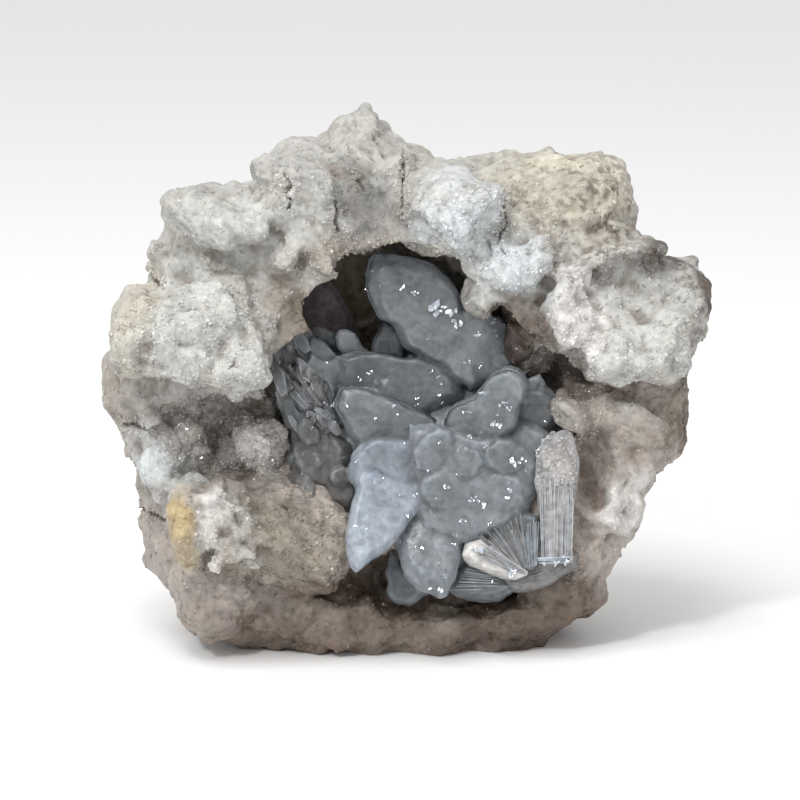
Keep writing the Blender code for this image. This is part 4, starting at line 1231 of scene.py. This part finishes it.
def fused(crust, name, triangles):
    """Crystals that have grown into each other, as one body in the tints of its crystals."""
    places, colours = np.concatenate(crust.places), np.concatenate(crust.colours)
    tree = kdtree.KDTree(len(places))
    for index, place in enumerate(places):
        tree.insert(place, index)
    tree.balance()
    body = crust.mesh(name)
    weld(body, CRYSTAL_VOXEL, CRYSTAL_EASING)
    thin = body.modifiers.new("thin", "DECIMATE")
    thin.ratio = min(1, triangles / (2 * len(body.data.polygons)))
    applied(body)
    nearest = [tree.find(place)[1] for place in positions(body.data)]
    colours = neighbour_mean(body.data, colours[nearest], 2)
    # Painted highlight: paler along the convex edges.
    colours = blend(colours, PEARL, 0.75 * step(0.02, 0.12, -hollowness(body.data, 4)))
    set_colours(body.data, "tint", colours)
    return body


def add_fibre(crust, start, end, width, shade):
    """A slender crystal with a diamond section, which narrows to its end."""
    start, end = Vector(start), Vector(end)
    along = (end - start).normalized()
    across = along.cross(Vector((0, -1, 0))).normalized()
    front = across.cross(along).normalized()
    sections = ((start, 0.8), (start.lerp(end, 0.4), 1), (end - along * width, 0.8), (end, 0.1))
    places = []
    for point, size in sections:
        for way in (across, front, -across, -front):
            places.append(tuple(point + way * (width / 2 * size)))
    faces = [(3, 2, 1, 0), (12, 13, 14, 15)]
    for low in (0, 4, 8):
        faces += band(low, low + 4, 4)
    crust.add(places, faces, np.tile(np.array(shade), (16, 1)))


def add_sheaves(masses):
    """Small blades that overlap, each with its own direction, size, lean and tint."""
    rng = random.Random(12)
    for name, mass, (a, b), (wide, high), angle, spread, count, length, width, depth in SHEAVES:
        for _ in range(count):
            turn = math.radians(angle + rng.gauss(0, spread))
            long = np.array((math.cos(turn), math.sin(turn))) * length * rng.uniform(0.6, 1.1)
            cross = np.array((-long[1], long[0])) / np.hypot(*long) * width * rng.uniform(0.35, 0.6)
            root = np.array((a + rng.uniform(-wide, wide), b + rng.uniform(-high, high))) - long / 2
            corners = [root + long * t + cross * w for t, w in BLADE_SIDE]
            for t, w in BLADE_SIDE[::-1]:
                corners.append(root + long * t - cross * w * rng.uniform(0.6, 1))
            lean = (rng.gauss(0, 0.35), rng.gauss(0.1, 0.25))
            outline, normal = seen_outline(corners, depth + rng.gauss(0, 0.8), lean)
            tint = ASH if name == "knobs" else rng.choice([STEEL, MIST, CLOUD])
            seed = rng.randrange(10000)
            add_plate(masses[mass], None, outline, normal, width * 0.5, tint, seed, 0.75)


def add_fibres(crust):
    """Fibres side by side, from the first one of each row to its last."""
    rng = random.Random(4)
    for _, first, last, count, depths, tint in FIBRES:
        for k in range(count):
            share = (k + rng.uniform(-0.3, 0.3)) / max(1, count - 1)
            ends = []
            for (a, b), (c, d), depth in zip(first, last, depths):
                wide = (a + (c - a) * share, b + (d - b) * share)
                ends.append(seen(*wide, depth + rng.uniform(-0.2, 0.25)))
            reach = rng.uniform(0.6, 1.05)
            end = ends[0] + (ends[1] - ends[0]) * reach
            tone = blend(evenly(tint, 1), PEARL, np.array([rng.uniform(0, 0.5)]))[0]
            shade = tone * rng.uniform(0.85, 1.15)
            add_fibre(crust, ends[0], end, rng.uniform(*FIBRE_WIDTHS), shade)


def add_root(crust, centre, half, tint):
    """A lump of the intergrown mass that the blades stand on."""
    bm = bmesh.new()
    bmesh.ops.create_icosphere(bm, subdivisions=5, radius=1.0)
    places = np.array([vert.co for vert in bm.verts]) * half + centre
    faces = [tuple(vert.index for vert in face.verts) for face in bm.faces]
    bm.free()
    top, number = grains(places, ROOT_GRAIN, 77)
    away = places - centre
    away /= np.linalg.norm(away, axis=1)[:, None]
    places = places + away * ((top - 0.7) * ROOT_RISE)[:, None]
    crust.add(places, faces, evenly(tint, len(places)) * (0.8 + number * 0.3)[:, None])


def add_glint(crust, rng, place, size, facing):
    """A small flat face with five uneven corners beside a place."""
    shift = Vector((rng.gauss(0, 0.45), -0.2, rng.gauss(0, 0.4))) * size
    lean = Vector((rng.gauss(0, GLINT_LEAN), 0, rng.gauss(0, GLINT_LEAN)))
    turn = (facing + lean).to_track_quat("Z", "Y")
    width = size * rng.uniform(0.16, 0.5)
    corners = []
    for k in range(5):
        angle = (k + rng.uniform(-0.3, 0.3)) * math.tau / 5
        reach = width * rng.uniform(0.6, 1.0)
        corners.append(Vector((math.cos(angle), math.sin(angle) * 1.3, 0)) * reach)
    low = [place + shift + turn @ (c * 0.6 - Vector((0, 0, 0.25))) for c in corners]
    high = [place + shift + turn @ c for c in corners]
    faces = [tuple(range(5, 10)), tuple(range(4, -1, -1)), *band(0, 5, 5)]
    crust.add([tuple(c) for c in low + high], faces, evenly(PEARL, 10))


def add_glints(crust, places):
    """Small flat faces that mirror the glint light, each on the frontmost crystal of its place."""
    right, above, depth = toward_camera(places)
    facing = ((Vector(GLINT_PLACE) - AIM).normalized() - Vector(VIEW)).normalized()
    rng = random.Random(21)
    tiny = [
        (rng.uniform(-20, 24), rng.uniform(-34, 20), rng.uniform(0.2, 0.42))
        for _ in range(TINY_GLINTS)
    ]
    for x, z, size in GLINTS + tiny:
        near = np.flatnonzero(np.hypot(right - x, above - z) < GLINT_REACH)
        if not len(near):
            continue
        place = Vector(places[near[depth[near].argmin()]] - TO_MIDDLE)
        for _ in range(GLINT_FACETS):
            add_glint(crust, rng, place, size, facing)


def add_grains(crust, places, normals, colours, spots, seed):
    """Small angular crystals, strewn over the stone's front and half sunk into it."""
    rng = np.random.default_rng(seed)
    corners = np.array([(1, 0, 0), (-1, 0, 0), (0, 1, 0), (0, -1, 0), (0, 0, 1), (0, 0, -1)])
    sides = [(0, 2, 4), (2, 1, 4), (1, 3, 4), (3, 0, 4), (2, 0, 5), (1, 2, 5), (3, 1, 5), (0, 3, 5)]
    for _, count, size, centre, radii in spots:
        gap = np.linalg.norm((places - centre) / radii, axis=1)
        open_side = (gap < 1) & (normals[:, 1] < -0.35) & (places[:, 2] > 0.8)
        chosen = rng.choice(np.flatnonzero(open_side), count)
        spin = np.linalg.qr(rng.normal(size=(count, 3, 3)))[0]
        stretch = size / 2 * rng.uniform(0.65, 1.5, (count, 1, 3))
        shift = rng.uniform(-0.2, 0.2, (count, 3))
        middle = places[chosen] + shift - normals[chosen] * size * 0.3
        points = (corners[None] * stretch) @ spin + middle[:, None]
        tone = colours[chosen] * rng.uniform(0.9, 1.2, (count, 1))
        faces = [
            tuple(i * 6 + c for c in (side if np.linalg.det(spin[i]) > 0 else side[::-1]))
            for i in range(count)
            for side in sides
        ]
        crust.add(points.reshape(-1, 3), faces, np.clip(np.repeat(tone, 6, axis=0), 0, 1))


def add_column_head(crust):
    """Sugary grains on the upper part of the column."""
    places = np.concatenate(crust.places)
    right, above, depth = toward_camera(places + TO_MIDDLE)
    (a, b), (wide, high) = COLUMN_HEAD
    inside = (np.abs(right - a) < wide) & (np.abs(above - b) < high)
    head = places[inside & (depth < np.median(depth))]
    normals = np.tile((0.0, -1.0, 0.0), (len(head), 1))
    colours = evenly(WHITISH, len(head))
    spot = ("head", *HEAD_GRAINS, head.mean(axis=0), (9, 9, 9))
    add_grains(crust, head, normals, colours, [spot], 7)


def to_middle(obj):
    """Moves a piece so that the origin is under the middle of the whole."""
    obj.data.transform(Matrix.Translation(TO_MIDDLE * MM))


def make_crystals():
    """All crystals, gathered by mass and made into their pieces."""
    masses = {mass: Crust() for _, mass, *_ in CRYSTAL_PIECES}
    for centre, half in ROOTS:
        add_root(masses["roots"], centre, np.array(half) * ROOT_SCALE, SMOKE)
    for seed, (name, mass, tint, depth, lean, thickness, inset, corners) in enumerate(PLATES):
        outline, normal = seen_outline(corners, depth, lean)
        rims = masses["frost"] if name in RIMMED else None
        add_plate(masses[mass], rims, outline, normal, thickness, tint, seed, inset)
    add_sheaves(masses)
    add_column_head(masses["frost"])
    add_fibres(masses["frost"])
    shown = masses["clear"].places + masses["fringe"].places + masses["frost"].places
    add_glints(masses["glints"], np.concatenate(shown) + TO_MIDDLE)
    for name, mass, transmission, roughness, gloss, glow, triangles in CRYSTAL_PIECES:
        crystals = fused(masses[mass], name, triangles) if triangles else masses[mass].mesh(name)
        to_middle(crystals)
        crystals.data.shade_smooth()
        crystals.data.set_sharp_from_angle(angle=SHARP_ANGLE)
        crystals.data.materials.append(crystal_material(name, transmission, roughness, gloss, glow))
        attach(crystals, "root")
        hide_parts("celestite_crystals")


def dress_stone(piece, material):
    """Gives a piece of the stone its material and its place in the frame."""
    piece.data.materials.append(material)
    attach(piece, "root")
    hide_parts("geode_stone")


def make_coats(mesh, colours):
    """The sugar on the stone and the druse in its pockets, as two pieces."""
    places = positions(mesh)
    normals = vertex_normals(mesh)
    grey = blend(colours, DRUSE, np.full(len(colours), 0.4))
    for name, spots, tones, look, seed in (
        ("stone_sugar", SUGAR, colours, SUGAR_LOOK, 5),
        ("stone_druse", DRUSE_COAT, grey, DRUSE_LOOK, 6),
    ):
        crust = Crust()
        add_grains(crust, places, normals, tones, spots, seed)
        coat = crust.mesh(name)
        to_middle(coat)
        dress_stone(coat, grained_material(name, *look))


def make_stone_wall():
    """The stone with its coats, parted into the broken face and the rind behind it."""
    stone = make_stone()
    roughen(stone.data)
    cut_base(stone.data)
    refine_cracks(stone.data)
    sugar(stone.data)
    colours = stone_colours(stone.data)
    set_colours(stone.data, "tint", colours)
    make_coats(stone.data, colours)
    to_middle(stone)
    material = grained_material("sugary_stone", *STONE_LOOK)
    for name, face_side, triangles in STONE_PIECES:
        piece = parted(stone, name, face_side, triangles)
        piece.data.shade_smooth()
        dress_stone(piece, material)
    bpy.data.objects.remove(stone)


def put(obj, place, way):
    """Puts a camera or a light at a place, facing a way."""
    obj.location = place
    obj.rotation_mode = "QUATERNION"
    obj.rotation_quaternion = way.to_track_quat("-Z", "Y")


def make_camera():
    camera = bpy.data.cameras.new("camera")
    camera.sensor_width = SENSOR
    camera.lens = SENSOR * DISTANCE / (PICTURE_SIDE / PIXELS_PER_MM * MM)
    camera.clip_start = 0.01
    obj = linked("camera", camera)
    view = Vector(VIEW)
    across = Vector((OFF_CENTRE[0], 0, 0)) + Vector(UP) * OFF_CENTRE[1]
    put(obj, AIM + across / PIXELS_PER_MM * MM - view * DISTANCE, view)
    bpy.context.scene.camera = obj


def make_lights():
    for name, place, size, power, mirrored in LIGHTS:
        light = bpy.data.lights.new(name, "AREA")
        light.energy = power
        light.size = size
        obj = linked(name, light)
        obj.visible_glossy = mirrored
        put(obj, place, AIM - Vector(place))


def make_stage():
    """A wide pale floor under an even, bright sky."""
    bm = bmesh.new()
    bmesh.ops.create_grid(bm, x_segments=1, y_segments=1, size=1500)
    floor = new_object("floor", bm)
    material, tree, shader = new_material("pale_floor")
    colour = (FLOOR_TONE, FLOOR_TONE, FLOOR_TONE, 1)
    set_inputs(tree, shader, {"Base Color": colour, "Roughness": 0.9})
    floor.data.materials.append(material)
    world = bpy.data.worlds.new("studio")
    world.use_nodes = True
    sky = world.node_tree.nodes["Background"]
    set_inputs(world.node_tree, sky, {"Color": (1, 1, 1, 1), "Strength": SKY_STRENGTH})
    bpy.context.scene.world = world
    bpy.context.scene.view_settings.view_transform = "Standard"


noise.seed_set(NOISE_SEED)
make_camera()
make_stage()
make_lights()
make_stone_wall()
make_crystals()
